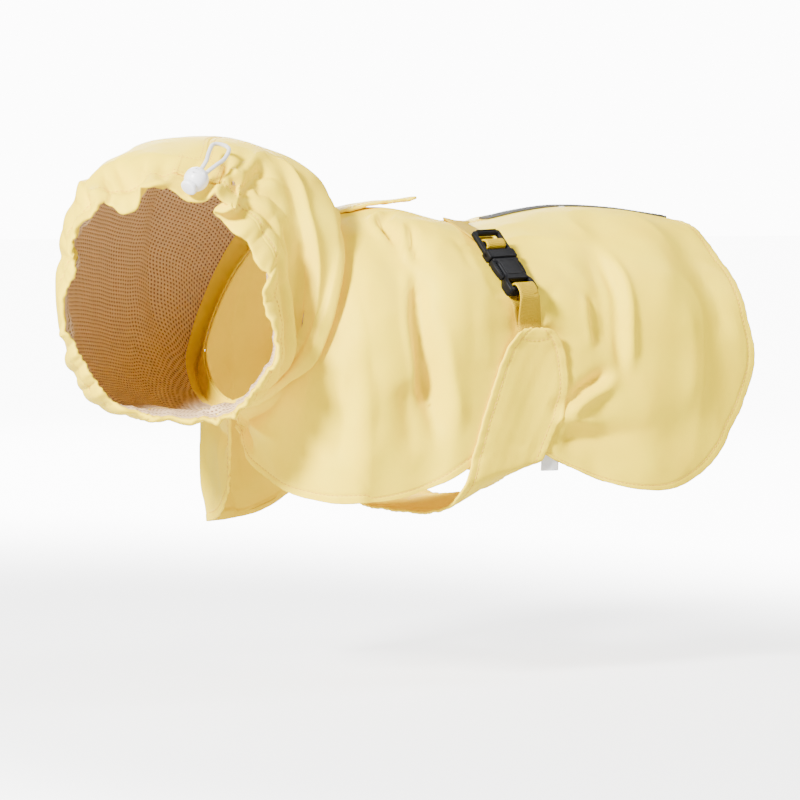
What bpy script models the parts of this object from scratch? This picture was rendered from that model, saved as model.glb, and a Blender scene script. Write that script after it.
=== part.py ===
"""Hooded dog raincoat, worn and hollow.

The wearer would face -X, its near side is -Y and +Z is up. The origin is where the coat
hangs on the wearer's back, over the withers. Lengths in this file are millimetres, and the
functions that make objects turn them into metres.
"""

import bisect
import math

import bmesh
import bpy
from mathutils import Matrix, Vector
from mathutils.bvhtree import BVHTree

MM = 0.001
GAP = 0.3                 # between two pieces that touch
SHELL = 1.2               # wall of the shell cloth
THIN = 1.0                # wall of the lining, patch, strip and label
DOUBLED = 2.2             # wall of a folded edge or a two-layer piece
NEAR, FAR = -1, 1         # the coat's two sides, as the sign of Y

# ---------------------------------------------------------------- the cape

# The cape lies on a smooth general form. A station is a place along it: 0 is the shoulder
# line, positive ones are mm behind it, negative ones run round the chest to its middle.
POLE_X = -55.0
CHEST_REACH = 50.0
CHEST_ARC = 120.0
DROP = 100.0              # below the widest line, one unit of q is this many mm

FORM_COLUMNS = ("station", "half_width", "top", "widest", "flare", "square")
FORM = (
    (0, 98, -6, -125, -4, 2.0),
    (25, 102, -3, -108, -2, 2.0),
    (55, 104, 0, -84, 2, 2.2),
    (88, 101, -7, -78, 2, 2.2),
    (112, 97, -11.5, -76, 3, 2.2),
    (135, 99, -8, -76, 3, 2.2),
    (160, 101, -3, -78, 3, 2.2),
    (190, 103, 0.5, -80, 2, 2.2),
    (230, 101, -1, -82, 0, 2.2),
    (262, 97, -5, -86, -2, 2.1),
    (284, 93, -8, -90, -4, 2.0),
)

# The neckline, by its angle round the neck from the nape (0) to the chest (180).
NECKLINE_COLUMNS = ("angle", "station", "z")
NECKLINE = (
    (0, 3, -5.64),
    (20, 1, -9),
    (45, -16, -20),
    (68, -34, -39),
    (90, -48, -62),
    (115, -62, -88),
    (140, -84, -108),
    (162, -104, -119),
    (180, -119, -124),
)

# Ribs run from the neckline to the hem. The near chest corner is round, the far one hangs
# lower and is squarer.
RIB_COLUMNS = ("neck_angle", "near_station", "near_z", "far_station", "far_z")
RIBS = (
    (0, 281, -7.5, 281, -7.5),
    (5, 278, -14, 278, -14),
    (10, 277, -29, 277, -29),
    (16, 281, -48, 281, -48),
    (22, 284, -68, 284, -68),
    (28, 288, -88, 288, -88),
    (34, 289, -106, 289, -106),
    (40, 284, -124, 284, -124),
    (46, 273, -145, 273, -146),
    (52, 252, -169, 252, -170),
    (59, 222, -182, 222, -183),
    (67, 185, -181, 185, -182),
    (76, 148, -169, 148, -170),
    (85, 113, -153, 113, -156),
    (94, 80, -157, 82, -164),
    (104, 50, -171, 52, -188),
    (116, 18, -182, 18, -204),
    (128, -12, -184, -14, -207),
    (140, -40, -184, -42, -207),
    (152, -66, -180, -68, -205),
    (163, -88, -171, -88, -201),
    (172, -104, -159, -102, -192),
    (180, -115, -141, -111, -178),
)
CAPE_RIBS = 41
CAPE_ROWS = 15
ROW_CROWDING = 1.3        # above 1, rows lie closer near the neck

# Folds pressed into the cape: a positive depth is a trough, a negative one a ridge.
FOLD_COLUMNS = ("side", "station_a", "z_a", "station_b", "z_b", "depth", "width")
FOLDS = (
    (NEAR, 33, -40, 34, -112, 3.2, 16),
    (NEAR, 34, -112, 40, -165, 3.6, 16),
    (NEAR, 62, -60, 64, -150, -2.0, 15),
    (NEAR, 68, -8, 34, -34, 2.0, 14),
    (NEAR, 8, -60, -2, -150, -2.4, 18),
    (NEAR, -28, -95, -30, -178, 2.6, 18),
    (NEAR, -66, -115, -60, -170, -2.2, 17),
    (NEAR, 185, -16, 162, -76, 3.0, 15),
    (NEAR, 214, -30, 208, -120, -2.6, 18),
    (NEAR, 140, -140, 178, -104, 3.0, 14),
    (NEAR, 162, -158, 214, -150, 2.8, 16),
    (NEAR, 246, -40, 264, -124, 2.6, 16),
    (FAR, 30, -44, 36, -140, 3.4, 16),
    (FAR, 60, -80, 64, -172, -2.4, 15),
    (FAR, 70, -10, 40, -36, 2.0, 14),
    (FAR, -24, -90, -20, -196, 2.8, 18),
    (FAR, -62, -110, -56, -196, -2.2, 17),
    (FAR, 176, -20, 158, -84, 2.6, 15),
    (FAR, 208, -30, 214, -120, -2.4, 18),
    (FAR, 134, -150, 176, -112, 2.6, 15),
    (FAR, 250, -46, 258, -126, 2.4, 16),
)

# Leash slot in the centre-back seam, and the flap that springs up over it.
SLOT_FROM, SLOT_TO, SLOT_HALF = 22.0, 54.0, 4.6
FLAP_STATION = 18.0
FLAP_LENGTH, FLAP_HALF, FLAP_RISE, FLAP_LEAN = 61.0, 17.0, 3.8, 1.2

# Strip over the rear of the centre-back seam.
STRIP_FROM, STRIP_TO, STRIP_HALF = 136.0, 276.0, 5.5

# ---------------------------------------------------------------- the hood

# Hood rings, from the brim (0) back to the fold that hangs over the neck seam (1).
# Yaw turns a ring to the near side, pitch tips its front up, twist turns the crown seam.
RING_COLUMNS = ("at", "x", "y", "z", "yaw", "pitch", "near", "far", "up", "down", "twist",
                "square", "gather")
RINGS = (
    (0.00, -186, -74, -64, 61, 3, 65, 63, 69, 65, 11, 2.3, 1.0),
    (0.08, -180, -63, -63, 61, 3, 69, 66, 79, 68, 11, 2.5, 1.0),
    (0.24, -167, -42, -60, 59, 4, 75, 71, 94, 71, 10, 2.8, 0.50),
    (0.42, -147, -16, -57, 41, 4, 78, 72, 101, 72, 8, 2.6, 0.16),
    (0.62, -119, 4, -56, 19, 8, 85, 72, 100, 76, 5, 2.3, 0.0),
    (0.82, -93, 5, -58, 8, 20, 84, 80, 91, 75, 2, 2.2, 0.0),
)
# The fold over the neck seam, by angle: how far behind the seam, and out from the cape.
FOLD_OVER_COLUMNS = ("angle", "back", "out")
FOLD_OVER = (
    (0, 12.0, 9.5),
    (20, 13.0, 10.0),
    (45, 15.0, 12.0),
    (68, 15.5, 11.0),
    (90, 13.5, 9.5),
    (110, 11.5, 7.5),
    (125, 9.5, 7.0),
    (140, 8.0, 7.0),
    (160, 6.5, 7.0),
    (180, 5.5, 7.5),
)
FOLD_SHAPE = (                    # place on the hood, share of back, share of out
    (0.94, 0.75, 1.0),
    (1.00, 1.0, 0.6),
    (1.06, 0.75, 0.22),
    (1.13, 0.38, 0.13),
)
SEAM_AT = 1.22
HOOD_ROUND = 104                  # columns round the whole hood
CASING_ROWS = (0.0, 0.03, 0.08)
HOOD_ROWS = (0.082, 0.15, 0.24, 0.35, 0.47, 0.60, 0.73, 0.85, 0.93, 0.975, 1.01, 1.06,
             1.13, 1.22)
LINING_ROWS = (0.012, 0.06, 0.15)
LINING_INSET = 3.0
GATHERS = 26                      # waves round the brim
GATHER_DEPTH = 2.3
GATHER_SIDE = 0.55                # share of the depth left at the sides and chin
PATCH_ANGLE, PATCH_FADE = 9.0, 7.0

# ---------------------------------------------------------------- band, strap and buckle

# Belly band, in three stretches: over the near side, under the belly, and inside the far
# side, where its end is sewn.
BAND_NEAR_COLUMNS = ("step", "centre_station", "half", "z", "rear_up", "lift")
BAND_NEAR = (
    (0, 114.5, 9.5, -77, 0, 5.4),
    (1, 114.5, 15.5, -81, 0, 5.2),
    (2, 114, 22.5, -93, 0, 2.4),
    (3, 110, 29.0, -118, 0, 1.0),
    (4, 101, 30.0, -142, 2, 1.0),
    (5, 91, 29.5, -167, 5.5, 1.2),
)
BAND_UNDER = (                # centre station, half, y, z, how far the rear edge is up
    (88, 29.5, -91, -176, 13.5),
    (86, 29.5, -66, -184, 11),
    (86, 29.5, -30, -191, 6),
    (87, 29.5, 10, -194, 3),
    (89, 29.5, 48, -192, 1),
    (92, 29.5, 78, -182, 0),
)
BAND_FAR = (                  # centre station, half, z, how far inside the cape's wall
    (95, 29.0, -170, 7.0),
    (97, 29.0, -160, 3.0),
    (100, 28.5, -146, 0.9),
    (102, 28.0, -126, 0.6),
    (104, 26.0, -110, 0.6),
)
BAND_PRESS_HALF, STRAP_PRESS_HALF, PRESS_FADE = 36.0, 15.0, 9.0
BAND_BEHIND = 19.0                # from the strap's station back to the band's
BAND_LEAN = 26.0                  # mm that the band runs forward per unit of q

WEBBING_WIDTH, WEBBING_WALL = 16.0, 1.3
WEBBING_LIFT = 0.9
WEBBING_FAR_Z = -34.0
WEBBING_END_Z = -80.0
STRAP_STATION, STRAP_LOW_STATION = 95.0, 110.0
BUCKLE_TOP_STATION, BUCKLE_BOTTOM_STATION = 96.0, 102.0
BUCKLE_TOP_Z, BUCKLE_BOTTOM_Z = -23.0, -59.0
BUCKLE_HALF_LONG, BUCKLE_HALF_WIDE, BUCKLE_DEEP = 23.5, 11.5, 6.4
BUCKLE_ROOM = (                   # along the buckle, room needed below its middle plane
    (-27, 5.9), (-23, 5.9), (-19, 5.6), (-15, 3.6), (-10, 3.6), (-5, 3.6), (0, 3.6), (5, 4.7),
    (10, 4.7), (15, 4.7), (19, 4.7), (23, 4.7),
)
PLATE_DEEP, POCKET_DEEP = 3.0, 3.6
BAR_HALF = 8.6
MOUTH = 1.5

# ---------------------------------------------------------------- cord lock, elastic, label

LOCK_AT = 0.05
LOCK_RADIUS = 7.6
BUTTON_RADIUS, BUTTON_LONG = 3.6, 6.5
CORD_RADIUS = 1.3
STRAND_APART = 2.3                # from the lock's axis, inside its mouth
MOUTH_FLOOR = 3.0
LOOP = (                          # degrees from the crown seam, place, height over the hood
    (2.0, 0.120, 11.6),
    (1.8, 0.155, 10.6),
    (1.8, 0.190, 9.8),
    (2.0, 0.215, 9.2),
    (2.5, 0.2275, 8.9),
    (3.85, 0.2367, 8.7),
    (5.7, 0.240, 8.6),
    (7.55, 0.2367, 8.6),
    (8.9, 0.2275, 8.7),
    (9.4, 0.215, 8.8),
    (9.3, 0.190, 9.1),
    (8.5, 0.155, 9.8),
    (6.7, 0.120, 10.6),
)
LOCK_AIM = (4.2, 0.12, 11.0)      # where the lock's mouth points, in the same terms

LABEL_STATION, LABEL_HALF, LABEL_TOP, LABEL_LOW = 128.0, 6.0, -149.0, -168.0

PALE = (0.93, 0.79, 0.34, 1)
BEIGE = (0.83, 0.66, 0.46, 1)
GOLD = (0.95, 0.52, 0.01, 1)
BLACK = (0.013, 0.013, 0.015, 1)
WHITE = (0.88, 0.88, 0.86, 1)
GREY = (0.30, 0.30, 0.29, 1)


# ---------------------------------------------------------------- tables and curves

def smooth(keys, values, at):
    """Value of a smooth curve through the given values, at a place among uneven keys."""
    if at <= keys[0]:
        return values[0]
    if at >= keys[-1]:
        return values[-1]
    last = len(keys) - 1
    low = bisect.bisect_right(keys, at) - 1
    span = keys[low + 1] - keys[low]
    t = (at - keys[low]) / span

    def slope(k):
        a, b = max(k - 1, 0), min(k + 1, last)
        return (values[b] - values[a]) / (keys[b] - keys[a])

    square, cube = t * t, t * t * t
    return (values[low] * (2 * cube - 3 * square + 1)
            + slope(low) * (span * (cube - 2 * square + t))
            + values[low + 1] * (3 * square - 2 * cube)
            + slope(low + 1) * (span * (cube - square)))


def row_at(table, columns, at):
    """All columns of a table at a place along its first column, by name."""
    keys = [row[0] for row in table]
    return {name: smooth(keys, [row[k] for row in table], at)
            for k, name in enumerate(columns) if k}


def even(count):
    """Numbers from 0 to 1 in even steps."""
    return [k / (count - 1) for k in range(count)]


def run_lengths(points):
    """Distance along a line of points, at each point."""
    lengths = [0.0]
    for a, b in zip(points, points[1:]):
        lengths.append(lengths[-1] + (b - a).length)
    return lengths


# ---------------------------------------------------------------- the cape's form

def q_at(station, z):
    """How far down a section a height lies: 0 on the spine, 1 on the widest line."""
    form = row_at(FORM, FORM_COLUMNS, max(station, 0.0))
    if z < form["widest"]:
        return 1 + (form["widest"] - z) / DROP
    share = (form["top"] - z) / (form["top"] - form["widest"])
    return math.acos((1 - max(share, 0.0)) ** (form["square"] / 2)) / (math.pi / 2)


def q_beside(station, aside):
    """How far down a section the place lies that is this far from the spine."""
    form = row_at(FORM, FORM_COLUMNS, station)
    return math.asin((aside / form["half_width"]) ** (form["square"] / 2)) / (math.pi / 2)


def bare_point(station, q, side):
    """Point of the smooth form, before any fold is pressed in."""
    form = row_at(FORM, FORM_COLUMNS, max(station, 0.0))
    turn = math.radians(90) * max(-station, 0.0) / CHEST_ARC
    if q <= 1:
        power = 2 / form["square"]
        reach = math.sin(q * math.pi / 2) ** power
        fall = 1 - abs(math.cos(q * math.pi / 2)) ** power
        z = form["top"] - (form["top"] - form["widest"]) * fall
    else:
        reach = 1 + form["flare"] * (q - 1) / form["half_width"]
        z = form["widest"] - (q - 1) * DROP
    x = POLE_X + max(station, 0.0) - CHEST_REACH * math.sin(turn) * reach
    return Vector((x, side * form["half_width"] * math.cos(turn) * reach, z))


def outward(station, q, side):
    """Unit direction away from the wearer."""
    step = 0.5
    along = bare_point(station + step, q, side) - bare_point(station - step, q, side)
    down = bare_point(station, q + step / DROP, side)
    down -= bare_point(station, max(q - step / DROP, 0.0), side)
    return (along.cross(down) * side).normalized()


def pressed(station, q, side):
    """1 where the band, the strap or the strip keeps the cape smooth, 0 well away."""
    spine = math.exp(-(max(q * DROP - 10.0, 0.0) / PRESS_FADE) ** 2)
    if side == FAR and q > 1:
        return spine
    low = min(max((q - 0.5) / 0.4, 0.0), 1.0)
    half = STRAP_PRESS_HALF + (BAND_PRESS_HALF - STRAP_PRESS_HALF) * low
    middle = STRAP_STATION + BAND_BEHIND * low - BAND_LEAN * max(q - 1.1, 0.0)
    away = max(abs(station - middle) - half, 0.0)
    return max(math.exp(-(away / PRESS_FADE) ** 2), spine)


def relief(station, q, side):
    """How far the folds lift the cape at a place."""
    lift = 0.0
    for row in FOLDS:
        fold = dict(zip(FOLD_COLUMNS, row))
        if fold["side"] != side:
            continue
        a = Vector((fold["station_a"], q_at(fold["station_a"], fold["z_a"]) * DROP))
        b = Vector((fold["station_b"], q_at(fold["station_b"], fold["z_b"]) * DROP))
        here = Vector((station, q * DROP)) - a
        length = (b - a).length
        along = here.dot(b - a) / length
        past = max(-along, along - length, 0.0)
        across = here - (b - a) * (along / length)
        fade = math.exp(-(past / (fold["width"] * 1.6)) ** 2)
        lift -= fold["depth"] * fade * math.exp(-(across.length / fold["width"]) ** 2)
    return lift * (1 - pressed(station, q, side))


def on_cape(station, q, side, height=0.0):
    """Point of the cape's outer face, moved out by a height."""
    normal = outward(station, q, side)
    return bare_point(station, q, side) + normal * (relief(station, q, side) + height)


def neckline(angle, side, height=0.0):
    """Point of the cape's neck edge at an angle round the neck."""
    neck = row_at(NECKLINE, NECKLINE_COLUMNS, angle)
    q = q_at(neck["station"], neck["z"]) if angle else 0.0
    return on_cape(neck["station"], q, side, height)


class Panels:
    """The cape's halves as built, for pieces that lie on them or under them."""

    def __init__(self, halves):
        """Keep a search tree for each half, by its side."""
        self.trees = {side: BVHTree.FromPolygons([v.co / MM for v in made.data.vertices],
                                                 [p.vertices for p in made.data.polygons])
                      for side, made in halves.items()}

    def hit(self, start, way, side):
        """First point of a half that a line meets, or None."""
        return self.trees[side].ray_cast(start, way, 80.0)[0]

    def point(self, station, q, side, height):
        """Point over the outer face, or under the inner face for a negative height."""
        form, normal = bare_point(station, q, side), outward(station, q, side)
        if height < 0:
            face = self.hit(form - normal * 30, normal, side) or form - normal * SHELL
        else:
            face = self.hit(form + normal * 30, -normal, side) or form
        return face + normal * height

    def point_z(self, station, z, side, height):
        """The same at a given z."""
        return self.point(station, q_at(station, z), side, height)

    def strap(self, station, q, side, height):
        """Middle of a strap that clears the outer face by a height, and its width's way."""
        form, normal = bare_point(station, q, side), outward(station, q, side)
        reach = WEBBING_WIDTH / 2
        way = bare_point(station + reach, q, side) - bare_point(station - reach, q, side)
        way.normalize()
        top = 0.0
        for aside in (-1.0, -0.5, 0.0, 0.5, 1.0):
            start = form + way * (aside * reach) + normal * 30
            face = self.hit(start, -normal, side)
            if face:
                top = max(top, (face - form).dot(normal))
        return form + normal * (top + height), way


def rib_place(share, down, side):
    """Station and q on a rib: share runs from spine to chest, down from neck to hem."""
    at = share * (len(RIBS) - 1)
    keys = list(range(len(RIBS)))
    first = 1 if side == NEAR else 3
    angle, hem_station, hem_z = (smooth(keys, [row[k] for row in RIBS], at)
                                 for k in (0, first, first + 1))
    neck = row_at(NECKLINE, NECKLINE_COLUMNS, angle)
    neck_q = q_at(neck["station"], neck["z"]) if share else 0.0
    hem_q = q_at(hem_station, hem_z) if share else 0.0
    station = neck["station"] + (hem_station - neck["station"]) * down
    return station, neck_q + (hem_q - neck_q) * down


def rib_point(share, down, side):
    """Point of a rib on the cape's outer face, opened at the centre-back seam."""
    station, q = rib_place(share, down, side)
    point = on_cape(station, q, side)
    if share == 0:
        point.y = side * seam_half(station)
    return point


def fold_over(angle, side, back, out):
    """Point of the hood's fold, which hangs over the cape behind the neck seam."""
    fold = row_at(FOLD_OVER, FOLD_OVER_COLUMNS, angle)
    share = smooth([row[0] for row in RIBS], even(len(RIBS)), angle)
    neck = on_cape(*rib_place(share, 0, side), side)
    length = (on_cape(*rib_place(share, 1, side), side) - neck).length
    down = back * fold["back"] / length
    return on_cape(*rib_place(share, down, side), side, out * fold["out"])


def seam_half(station):
    """Half the width of the centre-back seam, which opens into the leash slot."""
    if SLOT_FROM < station < SLOT_TO:
        opened = math.sin(math.pi * (station - SLOT_FROM) / (SLOT_TO - SLOT_FROM))
        return max(GAP / 2, SLOT_HALF * opened)
    return GAP / 2


# ---------------------------------------------------------------- the hood's form

def ring_point(ring, angle, side):
    """Point on one hood ring at an angle from its crown seam, 0 to 180 on each side."""
    turn = math.radians(side * -angle + ring["twist"])
    yaw, pitch = math.radians(ring["yaw"]), math.radians(ring["pitch"])
    near_axis = Vector((math.sin(yaw), -math.cos(yaw), 0))
    up_axis = Vector((math.cos(yaw) * math.sin(pitch), math.sin(yaw) * math.sin(pitch),
                      math.cos(pitch)))
    sine, cosine = math.sin(turn), math.cos(turn)
    power = 2 / ring["square"]
    wide = math.copysign(abs(sine) ** power, sine)
    wide *= ring["near"] if sine > 0 else ring["far"]
    tall = math.copysign(abs(cosine) ** power, cosine)
    tall *= ring["up"] if cosine > 0 else ring["down"]
    return Vector((ring["x"], ring["y"], ring["z"])) + near_axis * wide + up_axis * tall


def gather(angle, side):
    """Gather wave round the brim, -1 to 1, flat by the patch."""
    turn = math.radians(side * angle)
    wave = math.cos(GATHERS * turn + 0.9 * math.sin(3 * turn + 1.0) + 0.6 * math.sin(5 * turn))
    level = GATHER_SIDE + (1 - GATHER_SIDE) * max(math.cos(turn), 0.0)
    flat = min(max((angle - PATCH_ANGLE) / PATCH_FADE, 0.0), 1.0)
    return wave * level * flat


def hood_keys(angle, side):
    """Places and points that a hood column runs through, from brim to neck seam."""
    places, points = [], []
    for row in RINGS:
        ring = dict(zip(RING_COLUMNS, row))
        centre = Vector((ring["x"], ring["y"], ring["z"]))
        point = ring_point(ring, angle, side)
        push = gather(angle, side) * GATHER_DEPTH * ring["gather"]
        places.append(ring["at"])
        points.append(point + (point - centre).normalized() * push)
    for at, back, out in FOLD_SHAPE:
        places.append(at)
        points.append(fold_over(angle, side, back, out))
    places.append(SEAM_AT)
    points.append(neckline(angle, side, GAP * 1.5))
    return places, points


def hood_point(angle, side, at):
    """Point of the hood's outer face."""
    places, points = hood_keys(angle, side)
    return smooth(places, points, at)


def hood_outward(angle, side, at):
    """Unit direction out of the hood."""
    step = 1.0
    low, high = max(angle - step, 0.0), min(angle + step, 180.0)
    round_it = hood_point(high, side, at) - hood_point(low, side, at)
    back = hood_point(angle, side, at + 0.01) - hood_point(angle, side, max(at - 0.01, 0.0))
    return (round_it.cross(back) * -side).normalized()


def hood_above(turn, at, height):
    """Point over the hood near the crown, where turn counts up towards the near side."""
    side = NEAR if turn >= 0 else FAR
    return hood_point(abs(turn), side, at) + hood_outward(abs(turn), side, at) * height


# ---------------------------------------------------------------- making objects

def principled(name, colour, roughness):
    """Plain material for one piece."""
    made = bpy.data.materials.new(name)
    made.use_nodes = True
    shader = made.node_tree.nodes["Principled BSDF"]
    shader.inputs["Base Color"].default_value = colour
    shader.inputs["Roughness"].default_value = roughness
    shader.inputs["Metallic"].default_value = 0.0
    return made


def link(name, data):
    """Object made from a mesh or curve, put in the scene."""
    made = bpy.data.objects.new(name, data)
    bpy.context.scene.collection.objects.link(made)
    return made


def inner_face(grid, wall, closed=False, turned=False):
    """Points a wall's thickness behind a grid.

    Seen from outside, the grid's rows run down and its columns to the right, or to the left
    where turned is set. A closed grid joins its last column to its first.
    """
    rows, count = len(grid), len(grid[0])
    depth = wall if turned else -wall
    made = []
    for i in range(rows):
        line = []
        for j in range(count):
            before = grid[i][(j - 1) % count] if closed or j else grid[i][0]
            after = grid[i][(j + 1) % count] if closed or j < count - 1 else grid[i][-1]
            fall = grid[min(i + 1, rows - 1)][j] - grid[max(i - 1, 0)][j]
            line.append(grid[i][j] - (after - before).cross(fall).normalized() * depth)
        made.append(line)
    return made


def cloth(name, grid, wall, colour, closed=False, turned=False, roughness=0.6):
    """Cloth wall with a grid of points on its outer face."""
    return walled(name, grid, inner_face(grid, wall, closed, turned), colour, closed,
                  roughness)


def walled(name, grid, inner, colour, closed=False, roughness=0.6):
    """Closed body between two grids of points."""
    rows, count = len(grid), len(grid[0])
    size = rows * count
    around = count if closed else count - 1
    faces = []
    for i in range(rows - 1):
        for j in range(around):
            k = (j + 1) % count
            quad = (i * count + j, i * count + k, (i + 1) * count + k, (i + 1) * count + j)
            faces.append(quad)
            faces.append(tuple(v + size for v in reversed(quad)))
    edges = [(i * count + j, i * count + (j + 1) % count)
             for i in (0, rows - 1) for j in range(around)]
    if not closed:
        edges += [(i * count + j, (i + 1) * count + j)
                  for j in (0, count - 1) for i in range(rows - 1)]
    faces += [(a, b, b + size, a + size) for a, b in edges]
    mesh = bpy.data.meshes.new(name)
    mesh.from_pydata([tuple(v * MM) for face in (grid, inner) for line in face for v in line],
                     [], faces)
    work = bmesh.new()
    work.from_mesh(mesh)
    bmesh.ops.recalc_face_normals(work, faces=work.faces)
    bmesh.ops.triangulate(work, faces=work.faces)
    work.to_mesh(mesh)
    work.free()
    mesh.shade_smooth()
    mesh.set_sharp_from_angle(angle=math.radians(40))
    mesh.materials.append(principled(name, colour, roughness))
    return link(name, mesh)


def prism(name, outline, depth, frame, colour, lift=0.0):
    """Flat outline in a frame's XY plane, extruded evenly to both sides along its Z."""
    work = bmesh.new()
    low = [work.verts.new((x * MM, y * MM, (lift - depth / 2) * MM)) for x, y in outline]
    grown = bmesh.ops.extrude_face_region(work, geom=[work.faces.new(low)])
    lifted = [v for v in grown["geom"] if isinstance(v, bmesh.types.BMVert)]
    bmesh.ops.translate(work, vec=(0, 0, depth * MM), verts=lifted)
    bmesh.ops.recalc_face_normals(work, faces=work.faces)
    mesh = bpy.data.meshes.new(name)
    work.to_mesh(mesh)
    work.free()
    mesh.materials.append(principled(name, colour, 0.35))
    made = link(name, mesh)
    made.matrix_world = frame
    return made


def turned_piece(name, profile, frame, colour, sides=20):
    """Round piece turned about a frame's Z axis from (radius, z) points, poles closed."""
    work = bmesh.new()
    rings = []
    for radius, z in profile:
        if radius == 0:
            rings.append([work.verts.new((0, 0, z * MM))])
            continue
        turns = [2 * math.pi * k / sides for k in range(sides)]
        rings.append([work.verts.new((radius * math.cos(t) * MM, radius * math.sin(t) * MM,
                                      z * MM)) for t in turns])
    for low, high in zip(rings, rings[1:]):
        for k in range(sides):
            n = (k + 1) % sides
            if len(low) == 1:
                work.faces.new((low[0], high[k], high[n]))
            elif len(high) == 1:
                work.faces.new((low[k], high[0], low[n]))
            else:
                work.faces.new((low[k], high[k], high[n], low[n]))
    bmesh.ops.recalc_face_normals(work, faces=work.faces)
    mesh = bpy.data.meshes.new(name)
    work.to_mesh(mesh)
    work.free()
    mesh.shade_smooth()
    mesh.set_sharp_from_angle(angle=math.radians(40))
    mesh.materials.append(principled(name, colour, 0.4))
    made = link(name, mesh)
    made.matrix_world = frame
    return made


def cut(target, cutter):
    """Cut one object out of another, and leave the cutter out of the model."""
    cutter.hide_render = True
    cutter.display_type = "WIRE"
    modifier = target.modifiers.new("cut_" + cutter.name, "BOOLEAN")
    modifier.operation = "DIFFERENCE"
    modifier.solver = "EXACT"
    modifier.object = cutter


def box_outline(left, right, low, high):
    """Rectangle as an outline."""
    return [(left, low), (right, low), (right, high), (left, high)]


def frame_of(x_axis, y_axis, z_axis, origin):
    """Placement from three unit axes and an origin in mm."""
    frame = Matrix((x_axis, y_axis, z_axis)).transposed().to_4x4()
    frame.translation = origin * MM
    return frame


# ---------------------------------------------------------------- the pieces

def build_cape():
    """Near and far halves of the cape."""
    halves = {}
    for name, side in (("cape_near", NEAR), ("cape_far", FAR)):
        rows = [step ** ROW_CROWDING for step in even(CAPE_ROWS)]
        grid = [[rib_point(share, down, side) for share in even(CAPE_RIBS)] for down in rows]
        halves[side] = cloth(name, grid, SHELL, PALE, turned=side == NEAR)
    return Panels(halves)


def half_of(grid, order):
    """The columns of a closed grid in an order, with the end ones moved in by a half gap."""
    made = []
    for line in grid:
        line = [line[k] for k in order]
        first = line[0] + (line[1] - line[0]).normalized() * (GAP / 2)
        last = line[-1] + (line[-2] - line[-1]).normalized() * (GAP / 2)
        made.append([first] + line[1:-1] + [last])
    return made


def build_hood():
    """Two hood halves, the gathered casing round the face, and the lining inside it."""
    half = HOOD_ROUND // 2
    steps = [k * 360 / HOOD_ROUND for k in range(HOOD_ROUND)]
    turns = [(s, NEAR) if s <= 180 else (360 - s, FAR) for s in steps]
    columns = []
    for angle, side in turns:
        places, points = hood_keys(angle, side)
        columns.append([smooth(places, points, at) for at in HOOD_ROWS])
    outer = list(zip(*columns))
    inner = inner_face(outer, SHELL, closed=True, turned=True)
    near = list(range(half + 1))
    far = [-k % HOOD_ROUND for k in near]
    for name, order in (("hood_near", near), ("hood_far", far)):
        walled(name, half_of(outer, order), half_of(inner, order), PALE)
    casing = [[hood_point(angle, side, at) for angle, side in turns] for at in CASING_ROWS]
    cloth("hood_casing", casing, DOUBLED, PALE, closed=True, turned=True)
    lining = []
    for at in LINING_ROWS:
        ring = row_at(RINGS, RING_COLUMNS, at)
        centre = Vector((ring["x"], ring["y"], ring["z"]))
        line = []
        for angle, side in turns[::2]:
            point = hood_point(angle, side, at)
            inset = LINING_INSET + (1 + gather(angle, side)) * GATHER_DEPTH * ring["gather"]
            line.append(point + (centre - point).normalized() * inset)
        lining.append(line)
    cloth("hood_lining", lining, THIN, BEIGE, closed=True, turned=True)


def build_strip(panels):
    """Strip laid over the rear of the centre-back seam."""
    grid = []
    for across in (1.0, 0.5, 0.1, -0.5, -1.0):
        line = []
        for share in even(16):
            station = STRIP_FROM + (STRIP_TO - STRIP_FROM) * share
            q = q_beside(station, abs(across) * STRIP_HALF)
            side = NEAR if across < 0 else FAR
            line.append(panels.point(station, q, side, GAP + THIN))
        grid.append(line)
    cloth("back_strip", grid, THIN, GREY)


def build_flap():
    """Leash flap: a two-layer tongue that springs up behind the hood."""
    grid = []
    for across in (1.0, 0.6, 0.2, -0.2, -0.6, -1.0):
        line = []
        for share in even(11):
            station = FLAP_STATION + FLAP_LENGTH * share
            spine = bare_point(min(station, 55.0), 0.0, NEAR).z
            rise = GAP + DOUBLED + FLAP_RISE * share ** 1.5 - FLAP_LEAN * across * share
            droop = FLAP_LEAN * across * across * (1 - 0.5 * share)
            width = FLAP_HALF * (0.9 + 0.1 * share)
            line.append(Vector((POLE_X + station, across * width, spine + rise - droop)))
        grid.append(line)
    cloth("leash_flap", grid, DOUBLED, PALE)


def build_band(panels):
    """Belly band, one strip from the near side to the inside of the far side."""
    near = [row_at(BAND_NEAR, BAND_NEAR_COLUMNS, share * BAND_NEAR[-1][0])
            for share in even(13)]
    grid = []
    for across in (-1.0, -0.67, -0.33, 0.0, 0.33, 0.67, 1.0):
        line = [panels.point_z(row["centre_station"] + across * row["half"],
                               row["z"] + across * row["rear_up"], NEAR, row["lift"] + SHELL)
                for row in near]
        points = [Vector((POLE_X + centre + across * half, y, z + across * rear_up))
                  for centre, half, y, z, rear_up in BAND_UNDER]
        points += [panels.point_z(centre + across * half, z, FAR, -inside)
                   for centre, half, z, inside in BAND_FAR]
        points = line[-2:] + points
        places = run_lengths(points)
        start, end = places[1], places[-1]
        rest = [smooth(places, points, start + (end - start) * s) for s in even(22)[1:]]
        grid.append(line + rest)
    cloth("belly_band", grid, SHELL, PALE, turned=True)


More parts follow.
